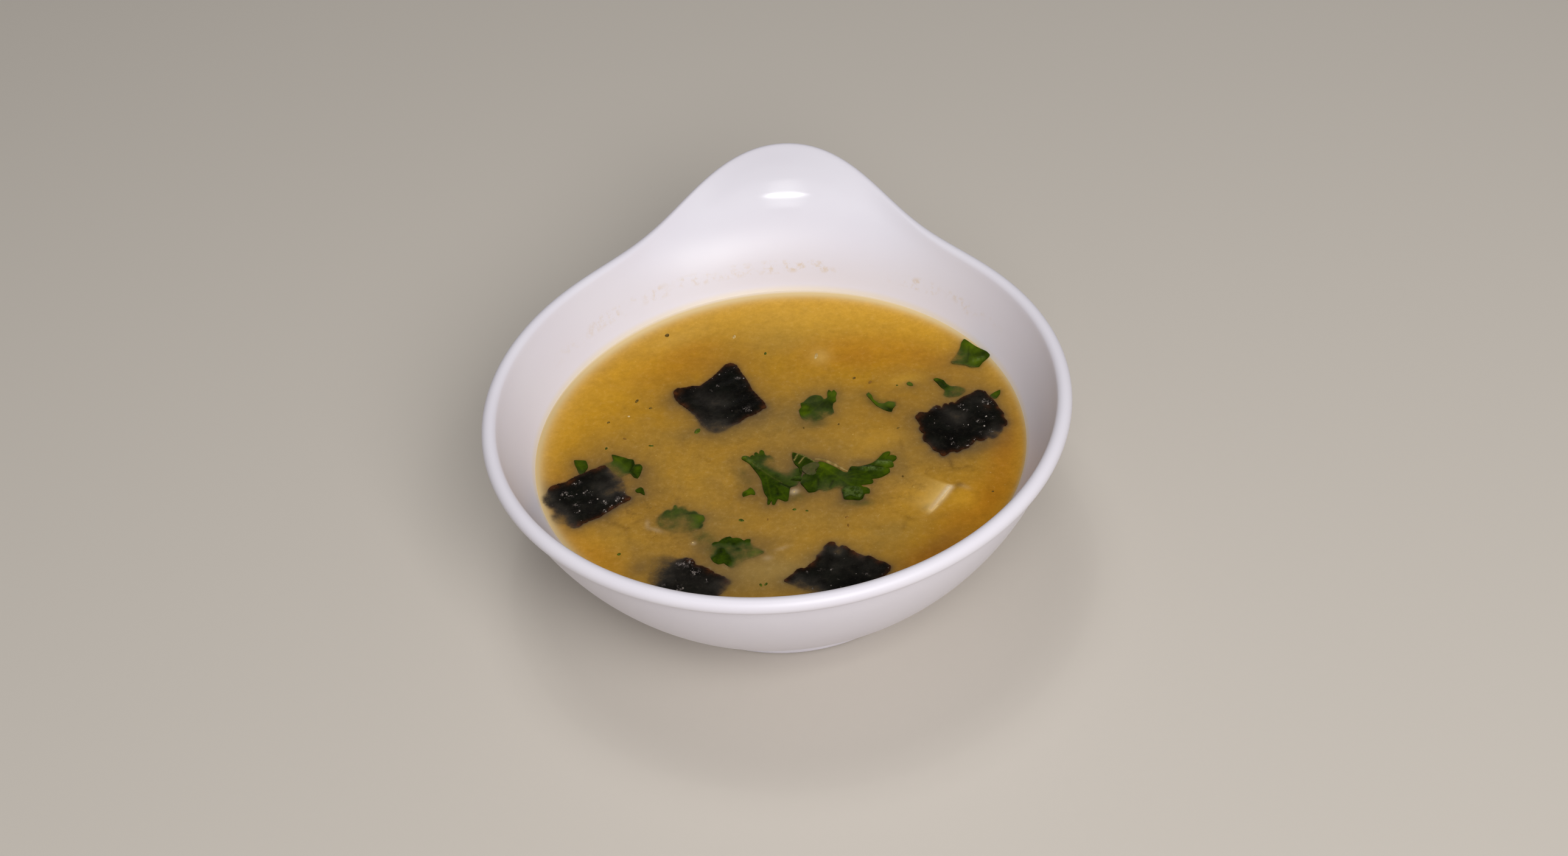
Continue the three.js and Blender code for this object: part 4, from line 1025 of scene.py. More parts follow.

# Lines are x, y, x, y and height or strength, but veins have none; spots are x, y, radius and depth
# or strength. Rise is how high the whole blade floats, pale how veiled it is, and sheen_and_underside
# how much of a paler underside shows.
CORIANDER = {
    "coriander_leaf_left": [{
        "outline": [
            (-7.7, -4.6), (-7.5, -4), (-7, -3.9), (-6.3, -4.1), (-5.8, -4.4), (-5.9, -4), (-5.5, -3.7),
            (-5.1, -3.9), (-5.1, -3.2), (-4.75, -2.9), (-4.3, -3.3), (-4.1, -3.5), (-4.05, -2.7),
            (-3.7, -2.2), (-3.2, -2.6), (-2.9, -3.6), (-2.4, -3.9), (-2, -3.8), (-1.5, -4.2),
            (-1.1, -4.9), (-0.9, -6.6), (0.5, -8.2), (2.6, -8.4), (4.4, -8), (4.9, -8.6), (4.8, -10),
            (4.4, -11.6), (3.8, -13.1), (2.6, -13.7), (2.4, -15.8), (2.2, -17.5), (1.6, -17.7),
            (0.6, -17.1), (0.1, -17), (-0.4, -18.5), (-0.9, -18.5), (-1.1, -17.4), (-1.5, -18.4),
            (-1.9, -18.4), (-1.9, -16.6), (-2.6, -15.2), (-3, -13.5), (-3.4, -11.3), (-4.1, -9.6),
            (-5, -8), (-6.1, -6.1), (-7.2, -5.1),
        ],
        "veins": [(-0.2, -13.2, 2, -17.2), (-2.4, -10.6, -1, -17.8)],
        "ridges": [(-6.8, -4.4, -3.9, -7.7, 0.25)],
        "folds": [
            (0.6, -12.4, 2.3, -13.6, 1), (2.3, -13.6, 3.8, -13.1, 0.8), (-0.1, -13.8, 0.1, -15.6, 0.8),
        ],
        "ribs": [
            (-7.1, -4.4, -3.9, -7.9, 0.16), (-3.9, -7.9, -0.7, -11.1, 0.16),
            (-0.7, -11.1, 0.8, -12.3, 0.12),
        ],
        "sunk": [
            (-4.6, -4.9, 1.2, 0.16), (-2.1, -5.7, 1.5, 0.8), (0.1, -7, 1.9, 1.2), (2, -8.3, 1.5, 0.8),
            (2.4, -10.6, 1.7, 0.3), (3.8, -12, 1.2, 0.22),
        ],
        "bright": [(-7.2, -4.4, 0.8, 0.7), (-6, -5.6, 0.8, 0.5), (-3.7, -2.8, 0.8, 0.4)],
        "dark": [(0, -14.6, 0.7, 0.7), (1.8, -17.4, 0.5, 0.5), (-4.6, -8, 0.6, 0.4)],
        "rise": 0.12,
    }],
    "coriander_sprig": [{
        "outline": [
            (14.6, -8.7), (15.1, -8.2), (16.8, -8.4), (18.4, -7.9), (19.2, -7.5), (19.9, -6.9),
            (20.7, -5.8), (21.5, -4.6), (22.3, -4.2), (22.9, -4.3), (22.7, -5), (22.3, -5.5),
            (23.2, -5.3), (24, -5.6), (24.2, -6), (24, -6.5), (23.5, -7), (23.1, -7.2), (23.5, -7.8),
            (23.6, -8.3), (23.3, -8.7), (22.7, -8.8), (21.9, -8.9), (22.7, -9.3), (22.8, -10),
            (22.4, -10.6), (21.3, -11.4), (20.4, -11.8), (19, -12), (19.3, -12.5), (19.4, -13),
            (19, -13.4), (17.9, -13.6), (16.8, -13.7), (17.4, -14.5), (18.1, -14.7), (18.7, -15.4),
            (18.6, -16.2), (17.7, -16.3), (17.3, -17.6), (16.6, -18.1), (15.2, -17.9), (13.6, -17.7),
            (13.4, -16.2), (13.1, -14.8), (12.8, -14.3), (11.7, -14.1), (10.5, -14.6), (9.6, -14.9),
            (8.4, -14.6), (7.6, -15.2), (6.3, -15.3), (5.3, -13.6), (4.7, -12.7), (4.8, -11.4),
            (5.2, -10.2), (6, -10), (7.5, -9.8), (8.2, -8.2), (7.9, -7), (8.5, -6.4), (9.8, -7),
            (11.7, -8.4), (13.2, -9.6), (14.2, -9.9),
        ],
        "veins": [
            (8.4, -7.4, 12.6, -11.4), (12.6, -11.4, 17.4, -10.4), (17.4, -10.4, 22, -6.4),
            (12.6, -11.4, 16.8, -15.8), (12.6, -11.4, 18.6, -12.8), (9.4, -9.4, 7, -13.8),
        ],
        "ridges": [
            (17.1, -8.9, 19.6, -9.2, 0.55), (19.6, -9.2, 21, -9.5, 0.35),
            (20.4, -7.3, 22.7, -7.5, 0.45),
        ],
        "folds": [
            (8.2, -11.3, 8.3, -13.4, 0.8), (11.3, -12.2, 10.5, -14.1, 1), (14.6, -8.7, 14.8, -9.2, 1),
            (15.1, -8.4, 17, -8.5, 0.5), (19.4, -8.2, 21.2, -8.7, 0.7),
        ],
        "sunk": [
            (9.6, -13.2, 1.4, 0.2), (13.3, -11.8, 2.2, 0.12), (10.4, -15, 1.8, 0.3),
            (12.8, -14.3, 1.4, 0.3), (13.6, -10.6, 1.2, 0.14), (5.2, -11.6, 1.2, 0.14),
        ],
        "bright": [
            (9, -7.5, 1.2, 1), (10.3, -8.6, 1.6, 0.7), (22.6, -5, 1.6, 0.7), (21.8, -8.1, 1.4, 0.6),
            (17.6, -14.6, 1.2, 0.3), (22.2, -10, 1, 0.5), (6.4, -14.2, 1, 0.3),
        ],
        "dark": [
            (16.4, -10.2, 1.6, 0.3), (20.4, -8.4, 0.8, 0.5), (19.6, -10.6, 1.2, 0.25),
            (18, -12.4, 1, 0.25),
        ],
        "rise": 0.2,
    }, {
        "outline": [
            (2.8, -3.5), (3.9, -3.8), (4.6, -4), (5.4, -4.5), (6.4, -5.4), (7.6, -6.5), (7.2, -6.8),
            (6.4, -7), (4.9, -8.1), (4.8, -9.8), (4.4, -9.5), (4.2, -8), (3.4, -6.9), (3.1, -6.2),
            (2.8, -4.9),
        ],
        "folds": [(4.6, -8.1, 4.7, -9.7, 0.8)],
        "ribs": [
            (3.9, -3.9, 3.2, -5.9, 1), (5.3, -4.8, 4.2, -6.9, 1), (3.8, -3.8, 5.4, -4.6, 0.9),
            (5.4, -4.6, 7.5, -6.5, 1),
        ],
        "dark": [
            (4.6, -8.6, 0.8, 0.6), (3.3, -5, 0.9, 0.6), (4.4, -5.4, 0.9, 0.6), (5.8, -6.2, 0.9, 0.6),
        ],
        "rise": 0.2,
    }, {
        "outline": [
            (4.9, -8.2), (5.4, -7.6), (6.4, -7), (7.6, -6.7), (8.3, -7.2), (8.4, -8), (7.5, -9),
            (7.8, -10.1), (7, -10.6), (6, -10.2), (5, -9.1),
        ],
        "veins": [(6.5, -7.2, 6.8, -10)],
        "folds": [(5, -9.1, 6, -10.2, 0.4), (6, -10.2, 7.6, -10.5, 0.4)],
        "rise": 0.3,
        "pale": 0.64,
    }, {
        "outline": [
            (13.1, -15.3), (13.9, -14.6), (15.1, -14.3), (16.4, -14.5), (17.1, -15.2), (17.4, -16.1),
            (17.1, -17.2), (16.4, -17.8), (15.6, -17.3), (14.8, -16.9), (14.1, -17.2), (13.5, -17.6),
            (13.3, -16.4),
        ],
        "veins": [(13.6, -15.8, 16.8, -16.2)],
        "ridges": [(14, -15.4, 16.2, -15.2, 0.3)],
        "folds": [
            (13.6, -17.5, 14.7, -17.1, 1), (14.7, -17.1, 16.2, -17.8, 1), (13.3, -15.7, 13.4, -16.2, 1),
        ],
        "rise": 0.36,
        "sheen_and_underside": 0.5,
    }],
    "coriander_leaf_back": [{
        "outline": [
            (4.1, 12.1), (4.7, 12.5), (5.3, 13.5), (6.1, 14.4), (7.2, 14.7), (8.4, 14.3), (9, 13.3),
            (9.7, 13.7), (9.7, 15.2), (10, 16.2), (10.6, 15.6), (11.1, 16.1), (11.7, 15.1),
            (11.5, 13.9), (11.6, 12.6), (11, 11.9), (10.9, 10.4), (11.2, 9), (10.6, 8.4), (9.9, 8.2),
            (8.6, 6.9), (7, 6.4), (5.4, 6.6), (4.5, 7.4), (4.1, 8.4), (3.8, 9.9), (4.3, 10.8),
        ],
        "veins": [(8.2, 11.6, 5, 8), (8.2, 11.6, 10.6, 15.4)],
        "folds": [(8.6, 12.9, 9.4, 11.2, 0.6)],
        "sunk": [
            (6.9, 12.8, 2, 0.26), (7.4, 7.8, 2.6, 0.3), (9.2, 9.5, 1.6, 0.14), (6, 6.9, 1.4, 0.35),
            (9.6, 8, 1.3, 0.3), (5, 9.4, 1.2, -0.25), (5, 10.8, 1, -0.2), (11, 14.8, 1.4, 0.05),
        ],
        "bright": [
            (10.9, 14.9, 1.2, 0.9), (11.2, 13, 0.8, 0.5), (5, 10.6, 0.9, 0.9), (4.9, 8.8, 1, 0.8),
        ],
        "dark": [(8.9, 11.5, 1.3, 1), (9.9, 11.2, 1, 1), (10.5, 8.7, 0.4, 0.6), (7.4, 11, 1.4, 0.6)],
        "rise": 0.06,
    }],
    "coriander_leaf_rim": [{
        "outline": [
            (39.2, 30.9), (39.8, 30.4), (41.2, 28.7), (42.8, 27.1), (44.4, 25.7), (44.5, 25),
            (43.7, 24.1), (42.9, 23.3), (42, 21.9), (40.3, 22), (39.1, 22.7), (37.8, 23), (36.5, 23.4),
            (36.2, 24), (37.4, 26.1), (38.3, 28.4), (38.6, 29.9),
        ],
        "veins": [(39.4, 30.2, 40.4, 26.6), (40.4, 26.6, 41.6, 22.6)],
        "ridges": [(41, 23.6, 42.8, 24.2, 0.35)],
        "folds": [(40.1, 28.4, 39.9, 25.6, 0.5), (39.9, 25.6, 39.5, 23.4, 0.5)],
        "sunk": [(37.4, 24.6, 2, 0.4), (38.6, 26.8, 1.4, 0.28), (40.2, 21.8, 1.4, 0.2)],
        "bright": [
            (41.4, 23.6, 1.6, 0.8), (38.2, 25.4, 1.4, 0.4), (40.4, 28.4, 1.8, 1), (41.6, 27, 1.2, 0.8),
        ],
        "dark": [(41.9, 25.5, 0.9, 0.4), (43.1, 25.5, 0.9, 0.6)],
        "rise": 0.3,
    }],
    "coriander_leaf_right": [{
        "outline": [
            (32.3, 18.3), (33.1, 18.6), (34.4, 17.9), (35, 16.7), (35.9, 15.9), (37.2, 15.8),
            (38.6, 15.1), (38.8, 14.2), (37.5, 12.8), (35.5, 12.5), (34.4, 13.2), (34.6, 14.7),
            (33.8, 15.7), (33.1, 17),
        ],
        "veins": [(34.8, 15, 38, 14.4)],
        "folds": [(33.4, 17.8, 34.5, 16.2, 0.7)],
        "sunk": [(36.6, 14, 2, 0.38), (38, 14.6, 1.4, 0.3), (34.6, 13, 1, 0.25)],
        "bright": [(32.8, 18.2, 0.5, 0.6)],
        "dark": [(33.9, 17.1, 0.9, 0.8), (34.8, 15.8, 0.7, 0.5)],
        "rise": 0.08,
    }],
    "coriander_leaf_side": [{
        "outline": [
            (-34.9, -2), (-33.7, -2.4), (-32.3, -3), (-31.2, -3.5), (-30.3, -3.7), (-30, -4.5),
            (-29.8, -5.3), (-28.8, -5.3), (-28.2, -6), (-28.3, -7.1), (-28.6, -8.5), (-29, -9.3),
            (-29.8, -8.9), (-30.5, -7.8), (-31, -7.7), (-31.9, -8.3), (-32.8, -8.7), (-33.8, -7.7),
            (-35.2, -6.5), (-36.3, -5.3), (-35.7, -4.5), (-34.8, -4.1), (-34.5, -3.7), (-34.7, -2.8),
        ],
        "veins": [(-34.6, -2.6, -31.4, -6)],
        "folds": [
            (-30.4, -3.9, -30.2, -5.4, 0.8), (-30.2, -5.4, -30.7, -7.2, 1),
            (-30.4, -7.4, -29.2, -9, 0.8),
        ],
        "sunk": [
            (-34.6, -6.3, 1.8, 0.55), (-33, -7.9, 1.6, 0.45), (-35.8, -5, 1.2, 0.5),
            (-31.6, -8.2, 0.9, 0.15),
        ],
        "bright": [(-31.8, -6, 1.1, 0.5), (-29.2, -6.4, 0.6, 0.6), (-33.4, -3.6, 1.3, 0.5)],
        "dark": [(-30.2, -4.7, 0.6, 0.6), (-30.3, -6.6, 0.7, 0.8), (-29.5, -8.7, 0.5, 0.5)],
        "rise": 0.12,
    }],
    "coriander_leaf_sunk": [{
        "outline": [
            (-22.9, -19.9), (-22.7, -19.4), (-22.1, -19), (-21.4, -19), (-21, -18.6), (-20.9, -18),
            (-20.6, -17.7), (-20.2, -18.1), (-19.9, -18.5), (-19.3, -18.2), (-18.6, -18.4),
            (-18.3, -19.2), (-17.6, -19.7), (-16.7, -19.6), (-16.1, -19.9), (-15.8, -20.5),
            (-15.3, -20.8), (-14.7, -21), (-14.4, -21.8), (-14.5, -22.6), (-14.8, -23.1),
            (-14.6, -23.6), (-14.9, -24.5), (-15.4, -24.8), (-17.6, -25.6), (-20.4, -25.4),
            (-23.2, -23.8), (-24, -21.6),
        ],
        "folds": [
            (-20.4, -20.7, -18.2, -20.2, 0.6), (-18.2, -20.2, -16, -20.1, 0.8),
            (-15.2, -24.4, -14.7, -23.7, 1), (-18.6, -23.1, -17.9, -23.3, 0.5),
            (-17.9, -23.3, -18.3, -24.9, 0.4),
        ],
        "sunk": [
            (-19, -21.5, 5, 0.26), (-20.9, -24.6, 3, 0.5), (-18, -24.8, 2, 0.5),
            (-22.9, -21.9, 1.6, 0.4), (-20.2, -21.8, 1.6, 0.2), (-18.6, -22, 1.6, 0.2),
            (-18.8, -18.4, 0.9, 0.3), (-16.4, -23, 1.2, 0.15),
        ],
        "bright": [(-15.4, -21.8, 1.4, 1), (-16.4, -23.2, 1.2, 0.6), (-20.6, -18.2, 0.6, 0.4)],
        "dark": [(-22.2, -19.6, 0.6, 0.3)],
        "rise": 0.04,
    }],
    "coriander_leaf_front": [{
        "outline": [
            (-12.5, -29.3), (-12, -28.8), (-11.3, -28.8), (-10.6, -28.1), (-9.8, -27.6), (-9, -27.4),
            (-8.5, -27.9), (-7.6, -27.9), (-6.8, -28.2), (-6.2, -28.7), (-5.6, -28.3), (-4.9, -28.4),
            (-4.9, -29.2), (-4.2, -30.4), (-3, -31.2), (-2.2, -31.9), (-2.7, -32.5), (-4, -33.2),
            (-5.5, -33.7), (-6.9, -34.9), (-8.3, -35.9), (-9.3, -35.3), (-9.9, -34.7), (-11, -34.9),
            (-12, -34.2), (-12.6, -33), (-12.9, -31.2),
        ],
        "folds": [(-10.9, -30.4, -10.6, -31.6, 0.8), (-10.9, -28.6, -9.4, -27.8, 0.5)],
        "sunk": [
            (-8.2, -31.4, 3.4, 0.5), (-5.6, -31, 2.2, 0.2), (-7, -35, 1.8, 0.5),
            (-12.2, -31.2, 1.6, 0.6), (-3.6, -31.8, 1.8, 0.35), (-10.3, -33.2, 1.5, -1.0),
            (-10.7, -31.2, 0.8, -0.8), (-9.2, -34.5, 0.9, -0.5), (-10, -28.3, 1.1, -0.6),
            (-7.6, -28.6, 1.3, -0.5), (-8.1, -29.6, 0.5, -0.6), (-7.3, -31, 0.5, -0.5),
            (-5.4, -28.8, 0.7, -0.4), (-12, -29.1, 0.5, -0.5),
        ],
        "bright": [(-3.8, -32.1, 1.4, 1), (-7.4, -28.6, 1, 0.3)],
        "dark": [
            (-8, -31.4, 3, 0.55), (-8.1, -29.6, 0.45, 1), (-7.3, -31, 0.35, 0.8),
            (-10.8, -30.8, 0.4, 0.8), (-5.5, -31.2, 1.1, 0.5), (-8.9, -34.9, 0.5, 0.5),
            (-5.3, -28.6, 0.4, 0.4),
        ],
        "rise": 0.05,
    }],
    "coriander_scraps": [{
        "outline": [
            (18, 14.2), (18.5, 14.8), (19.1, 14), (19.5, 12.6), (20.6, 11.3), (21.7, 11.2),
            (22.7, 11.8), (24, 11.5), (24.1, 10.4), (23.6, 9.5), (23.3, 8.5), (22.5, 8.7), (21.4, 9.4),
            (20.1, 10.6), (19, 12.4),
        ],
        "veins": [(18.5, 14, 20.4, 11.2)],
        "folds": [(22.6, 9.6, 23.2, 8.7, 0.9)],
        "sunk": [(23.6, 11.2, 1, 0.25), (21.4, 10.4, 1.2, 0.15), (18.4, 14.2, 0.6, 0.15)],
        "bright": [(20, 12, 2.2, 1), (18.6, 14, 0.8, 1), (23.2, 11, 1.2, 1)],
        "dark": [(23, 9.1, 0.6, 0.8)],
        "rise": 0.06,
    }, {
        "outline": [(44, 12.4), (45.1, 13.4), (46.2, 13.9), (46.1, 12.8), (45.4, 11.6), (44.8, 11.4)],
        "sunk": [(44.4, 11.9, 0.8, 0.2)],
        "bright": [(45.2, 12.8, 1, 0.5)],
        "rise": 0.06,
    }, {
        "outline": [
            (-42.7, -3.3), (-41.9, -3.3), (-40.3, -3.5), (-39.9, -4.3), (-39.6, -5.4), (-40.2, -7),
            (-40.8, -7.6), (-41.4, -7), (-41.9, -5.7), (-42.4, -4.6),
        ],
        "veins": [(-42.2, -3.6, -40.6, -6.4)],
        "sunk": [(-41, -6.9, 0.8, 0.15)],
        "bright": [(-40.8, -5.2, 1.2, 0.4)],
        "dark": [(-42.3, -4, 0.6, 0.4)],
        "rise": 0.1,
    }, {
        "outline": [
            (-29.1, -13.1), (-28.5, -12.5), (-28, -12.3), (-27.5, -12.7), (-27.1, -14), (-27.2, -14.4),
            (-28.1, -13.7), (-28.7, -13.6),
        ],
        "dark": [(-28.3, -12.9, 0.5, 0.4)],
        "rise": 0.12,
    }, {
        "outline": [
            (-7.1, -15.4), (-6.9, -14.7), (-6.2, -14.2), (-5.6, -13.5), (-5, -13.9), (-4.5, -14.9),
            (-4.6, -15.5), (-5.4, -15.3), (-6.1, -15.6), (-6.9, -15.9),
        ],
        "folds": [(-6.9, -15.6, -6.4, -15, 0.5)],
        "bright": [(-5.8, -14.8, 1.1, 1)],
        "rise": 0.08,
    }, {
        "outline": [
            (2.5, -11.6), (3.1, -11.1), (4.2, -10.8), (4.9, -11.1), (4.8, -11.8), (3.9, -11.9),
            (3.3, -11.7),
        ],
        "ridges": [(3.6, -11, 4.4, -10.9, 0.4)],
        "folds": [(2.6, -11.6, 3.4, -11.5, 1), (3.8, -11.6, 4.7, -11.6, 0.9)],
        "rise": 0.2,
    }, {
        "outline": [(26.6, 17.5), (27.1, 17.9), (27.7, 17.4), (27.9, 16.7), (27.3, 16.6), (26.7, 17)],
        "sunk": [(27.2, 17.3, 1, 0.12)],
        "bright": [(27.2, 17.2, 1, 1)],
        "rise": 0.04,
    }],
}


def smooth(outline, steps=4, ease=0.28):
    """A closed curve through the points of an outline."""
    here = np.array(outline, float)
    there = np.roll(here, -1, axis=0)
    leave = ease * (there - np.roll(here, 1, axis=0))
    arrive = np.roll(leave, -1, axis=0)
    t = np.linspace(0, 1, steps, endpoint=False)[None, :, None]
    curve = (2 * t**3 - 3 * t**2 + 1) * here[:, None] + (t**3 - 2 * t**2 + t) * leave[:, None]
    curve = curve + (3 * t**2 - 2 * t**3) * there[:, None] + (t**3 - t**2) * arrive[:, None]
    return curve.reshape(-1, 2)


def along_lines(places, lines, width):
    """Nearness to any of some lines, each from 1 on it to 0, times the line's own height."""
    result = np.zeros(len(places))
    for x0, y0, x1, y1, height in lines:
        start, run = np.array([x0, y0]), np.array([x1 - x0, y1 - y0])
        share = np.clip((places - start) @ run / (run @ run), 0, 1)
        distance = np.hypot(*(places - start - share[:, None] * run).T)
        result = np.maximum(result, height * np.exp(-((distance / width) ** 2)))
    return result


herb, place = new_finish("coriander_leaf", IOR=1.4, Specular_IOR_Level=0.06)
mottle = place.noise(1.8, 4, 0.6)
bright = place.attribute("bright") * (0.4 + mottle * 0.8)
# Ridges get a grey-green painted sheen; where a whole blade is given that grey-green, it is its paler
# underside.
sheen_and_underside = place.attribute("sheen_and_underside") * place.noise(0.8, 4, 0.7).ramp(0.36, 0.66)
colour = place.mix(leaf_colour(place), LEAF_BRIGHT, bright)
colour = place.mix(colour, LEAF_BRIGHT, place.attribute("vein") * 0.25)
colour = place.mix(colour, LEAF_SHEEN_AND_UNDERSIDE, sheen_and_underside)
# Folds are painted dark as shade in the creases, and the listed dark spots are darkened with them.
colour = place.mix(colour, LEAF_CREASE_SHADE, place.attribute("crease") * 0.85)
colour = place.mix(colour, LEAF_RIB, place.attribute("rib"))
hidden = place.attribute("veil")
seen_in_broth(place, colour, LEAF_HAZE, broth_colour(place), hidden).feed("Base Color")
(0.34 + mottle * 0.25).feed("Roughness")
place.bump(place.noise(0.5, 4, 0.6) * (1 - hidden * 0.9), 0.3, 0.08).feed("Normal")

for number, (node, blades) in enumerate(CORIANDER.items()):
    dice = np.random.default_rng(number + 41)
    sheets, values = [], []
    for blade in blades:
        kinds = ("sunk", "ridges", "folds", "ribs", "bright", "dark", "veins")
        marks = {kind: blade.get(kind, []) for kind in kinds}
        outline = smooth(blade["outline"])
        places, triangles = filled(outline, LEAF_GRAIN)
        inside = np.maximum(inside_distance(places, outline), 0)
        depth = sunk_depth(places, marks["sunk"])
        seen = seen_through(depth, inside + LEAF_CRISP * np.exp(-depth / EDGE_DEPTH))
        seen = seen * (1 - blade.get("pale", 0))
        ridge = RIDGE_HEIGHT * along_lines(places, marks["ridges"], RIDGE_WIDTH)
        crease = along_lines(places, marks["folds"], FOLD_WIDTH)
        vein = along_lines(places, [(*line, 1) for line in marks["veins"]], VEIN_WIDTH)
        crown = LEAF_THICK * (1 - np.exp(-((inside / LEAF_SHOULDER) ** 2)))
        rise = LEAF_RISE + blade["rise"] + crown + ridge - FOLD_DEPTH * crease - VEIN_DEPTH * vein
        rise = rise + LEAF_WAVE * ripples(places, LEAF_WAVES, dice)
        rise = np.maximum(rise * np.exp(-depth / LEAF_SINKING), LEAST_RISE)
        under = np.full(len(places), LEVEL - LEAF_UNDER)
        sheets.append(closed_sheet(places, triangles, surface_height(places) + rise, under))
        columns = np.column_stack([
            1 - seen,
            bumps(places, marks["bright"]),
            vein,
            np.clip(np.maximum(ridge / RIDGE_FULL_SHEEN, blade.get("sheen_and_underside", 0)), 0, 1),
            np.maximum(crease, DARK_SPOT * bumps(places, marks["dark"])),
            along_lines(places, marks["ribs"], RIB_WIDTH),
        ])
        values += [columns, columns]
        afloat.append({"outline": outline, "sunk": marks["sunk"], "tint": "green"} | LEAF_SHADE)
    piece = make_piece(node.replace("_leaf", "") + "_leaves", *joined(sheets), herb)
    piece.data.set_sharp_from_angle(angle=CREASE_ANGLE)
    veiled.append(piece)
    for name, column in zip(("veil", "bright", "vein", "sheen_and_underside", "crease", "rib"), np.vstack(values).T):
        set_attribute(piece, name, column)
    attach(piece, "root")
    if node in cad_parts:
        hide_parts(node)

# --- Coriander stalk --------------------------------------------------------------------------
# A pale, soft piece of the sprig's own stalk, cut off bluntly at both ends. It lies along the upper
# edge of the large sprig, half sunk in the broth.

STALK_ROUTE = [
    (7.2, -5.4), (8.5, -5.5), (9.8, -6.2), (10.8, -6.9), (11.8, -7.7), (12.9, -8.5), (14.4, -9.6),
]
STALK_RADIUS = 0.44
STALK_RISE = 0.06  # of its middle above the level
STALK_SIDES = 10
STALK_END = 0.25  # radians of the round taper that are missing at its blunt ends
STALK_SHADE = paint(122, 98, 46)
STALK_PALE = paint(156, 130, 78)

stalk_green, place = new_finish("pale_stalk", IOR=1.4, Roughness=0.4, Specular_IOR_Level=0.2)
place.mix(STALK_SHADE, STALK_PALE, place.noise(1.2, 3).ramp(0.35, 0.65)).feed("Base Color")

route = np.array(STALK_ROUTE)
ahead = np.gradient(route, axis=0)
ahead /= np.hypot(*ahead.T)[:, None]
taper = STALK_RADIUS * np.sin(np.linspace(STALK_END, np.pi - STALK_END, len(route)))
sides = np.linspace(0, 2 * np.pi, STALK_SIDES, endpoint=False)
points, faces = [], []
for (x, y), (dx, dy), radius in zip(route, ahead, taper):
    out, up = radius * np.cos(sides), radius * np.sin(sides)
    points += [*np.column_stack([x - dy * out, y + dx * out, LEVEL + STALK_RISE + up])]
rings = np.arange(len(points)).reshape(-1, STALK_SIDES).tolist()
for ring, after in zip(rings, rings[1:]):
    faces += band(ring, after)
faces += [rings[0][::-1], rings[-1]]
stalk = make_piece("coriander_stalk", points, faces, stalk_green)
smoother = stalk.modifiers.new("smoother", "SUBSURF")
smoother.levels = smoother.render_levels = 2
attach(stalk, "root")

# --- Herb crumbs ------------------------------------------------------------------------------
# Crumbs of coriander and of dark roasted seaweed, too small to be called leaves, and a few pale
# shreds of bean curd. They lie flat on the surface, some just under it.

# x, y, length, width, heading in degrees
CRUMBS = {
    "green": [
        (-36.3, 0.3, 0.9, 0.6, 80), (-26.9, 0.6, 1.3, 0.5, -8), (-4.0, 29.4, 1.0, 0.7, 90),
        (3.6, -20.1, 0.9, 0.7, 10), (6.1, -20.6, 0.7, 0.5, -20), (-30.9, -31.2, 0.9, 0.7, 30),
        (-17.4, 4.7, 1.9, 1.3, 60), (-7.0, -22.7, 1.3, 0.8, -25), (-2.4, -40.9, 1.0, 0.6, 110),
        (-1.4, -40.7, 1.1, 0.6, 60), (24.5, 17.0, 0.6, 0.4, 0),
    ],
    "brown": [
        (-31.1, 15.1, 1.3, 0.8, 70), (-27.9, 12.6, 0.9, 0.6, 20), (-36.6, 8.5, 0.8, 0.6, 50),
        (4.9, 4.4, 0.8, 0.4, 100), (12.2, 5.2, 0.8, 0.4, 70), (15.4, 19.9, 1.0, 0.7, 50),
        (24.6, 3.3, 0.8, 0.5, 40), (25.4, -11.5, 0.7, 0.5, 110), (43.3, -16.9, 0.6, 0.5, 0),
        (-26.1, 37.0, 1.4, 1.1, 90),
    ],
    "rust": [
        (-32.7, 3.1, 1.0, 0.7, -30), (14.1, -22.9, 0.9, 0.7, 60), (14.4, -25.2, 1.1, 0.4, 100),
        (18.8, 18.4, 1.2, 0.8, 60), (-1.7, -22.8, 0.8, 0.4, 90),
    ],
    "pale": [
        (-11.1, 35.6, 1.3, 0.8, 80), (-32.4, 10.2, 0.6, 0.5, 0), (7.1, 27.8, 2.2, 0.9, 84),
        (-16.4, -28.6, 0.4, 0.3, 0), (3.4, -14.9, 0.5, 0.4, 60),
    ],
}
CRUMB_RISE = 0.16
CRUMB_CORNERS = 7
CRUMB_SPREAD = (1.1, 1.55)  # how uneven its corners are
CRUMB_COLOURS = {
    "green": (paint(46, 58, 8), paint(84, 96, 20)),
    "brown": (paint(86, 64, 20), paint(116, 90, 32)),
    "rust": (paint(114, 80, 28), paint(142, 102, 40)),
    "pale": (paint(180, 146, 84), paint(204, 178, 122)),
}

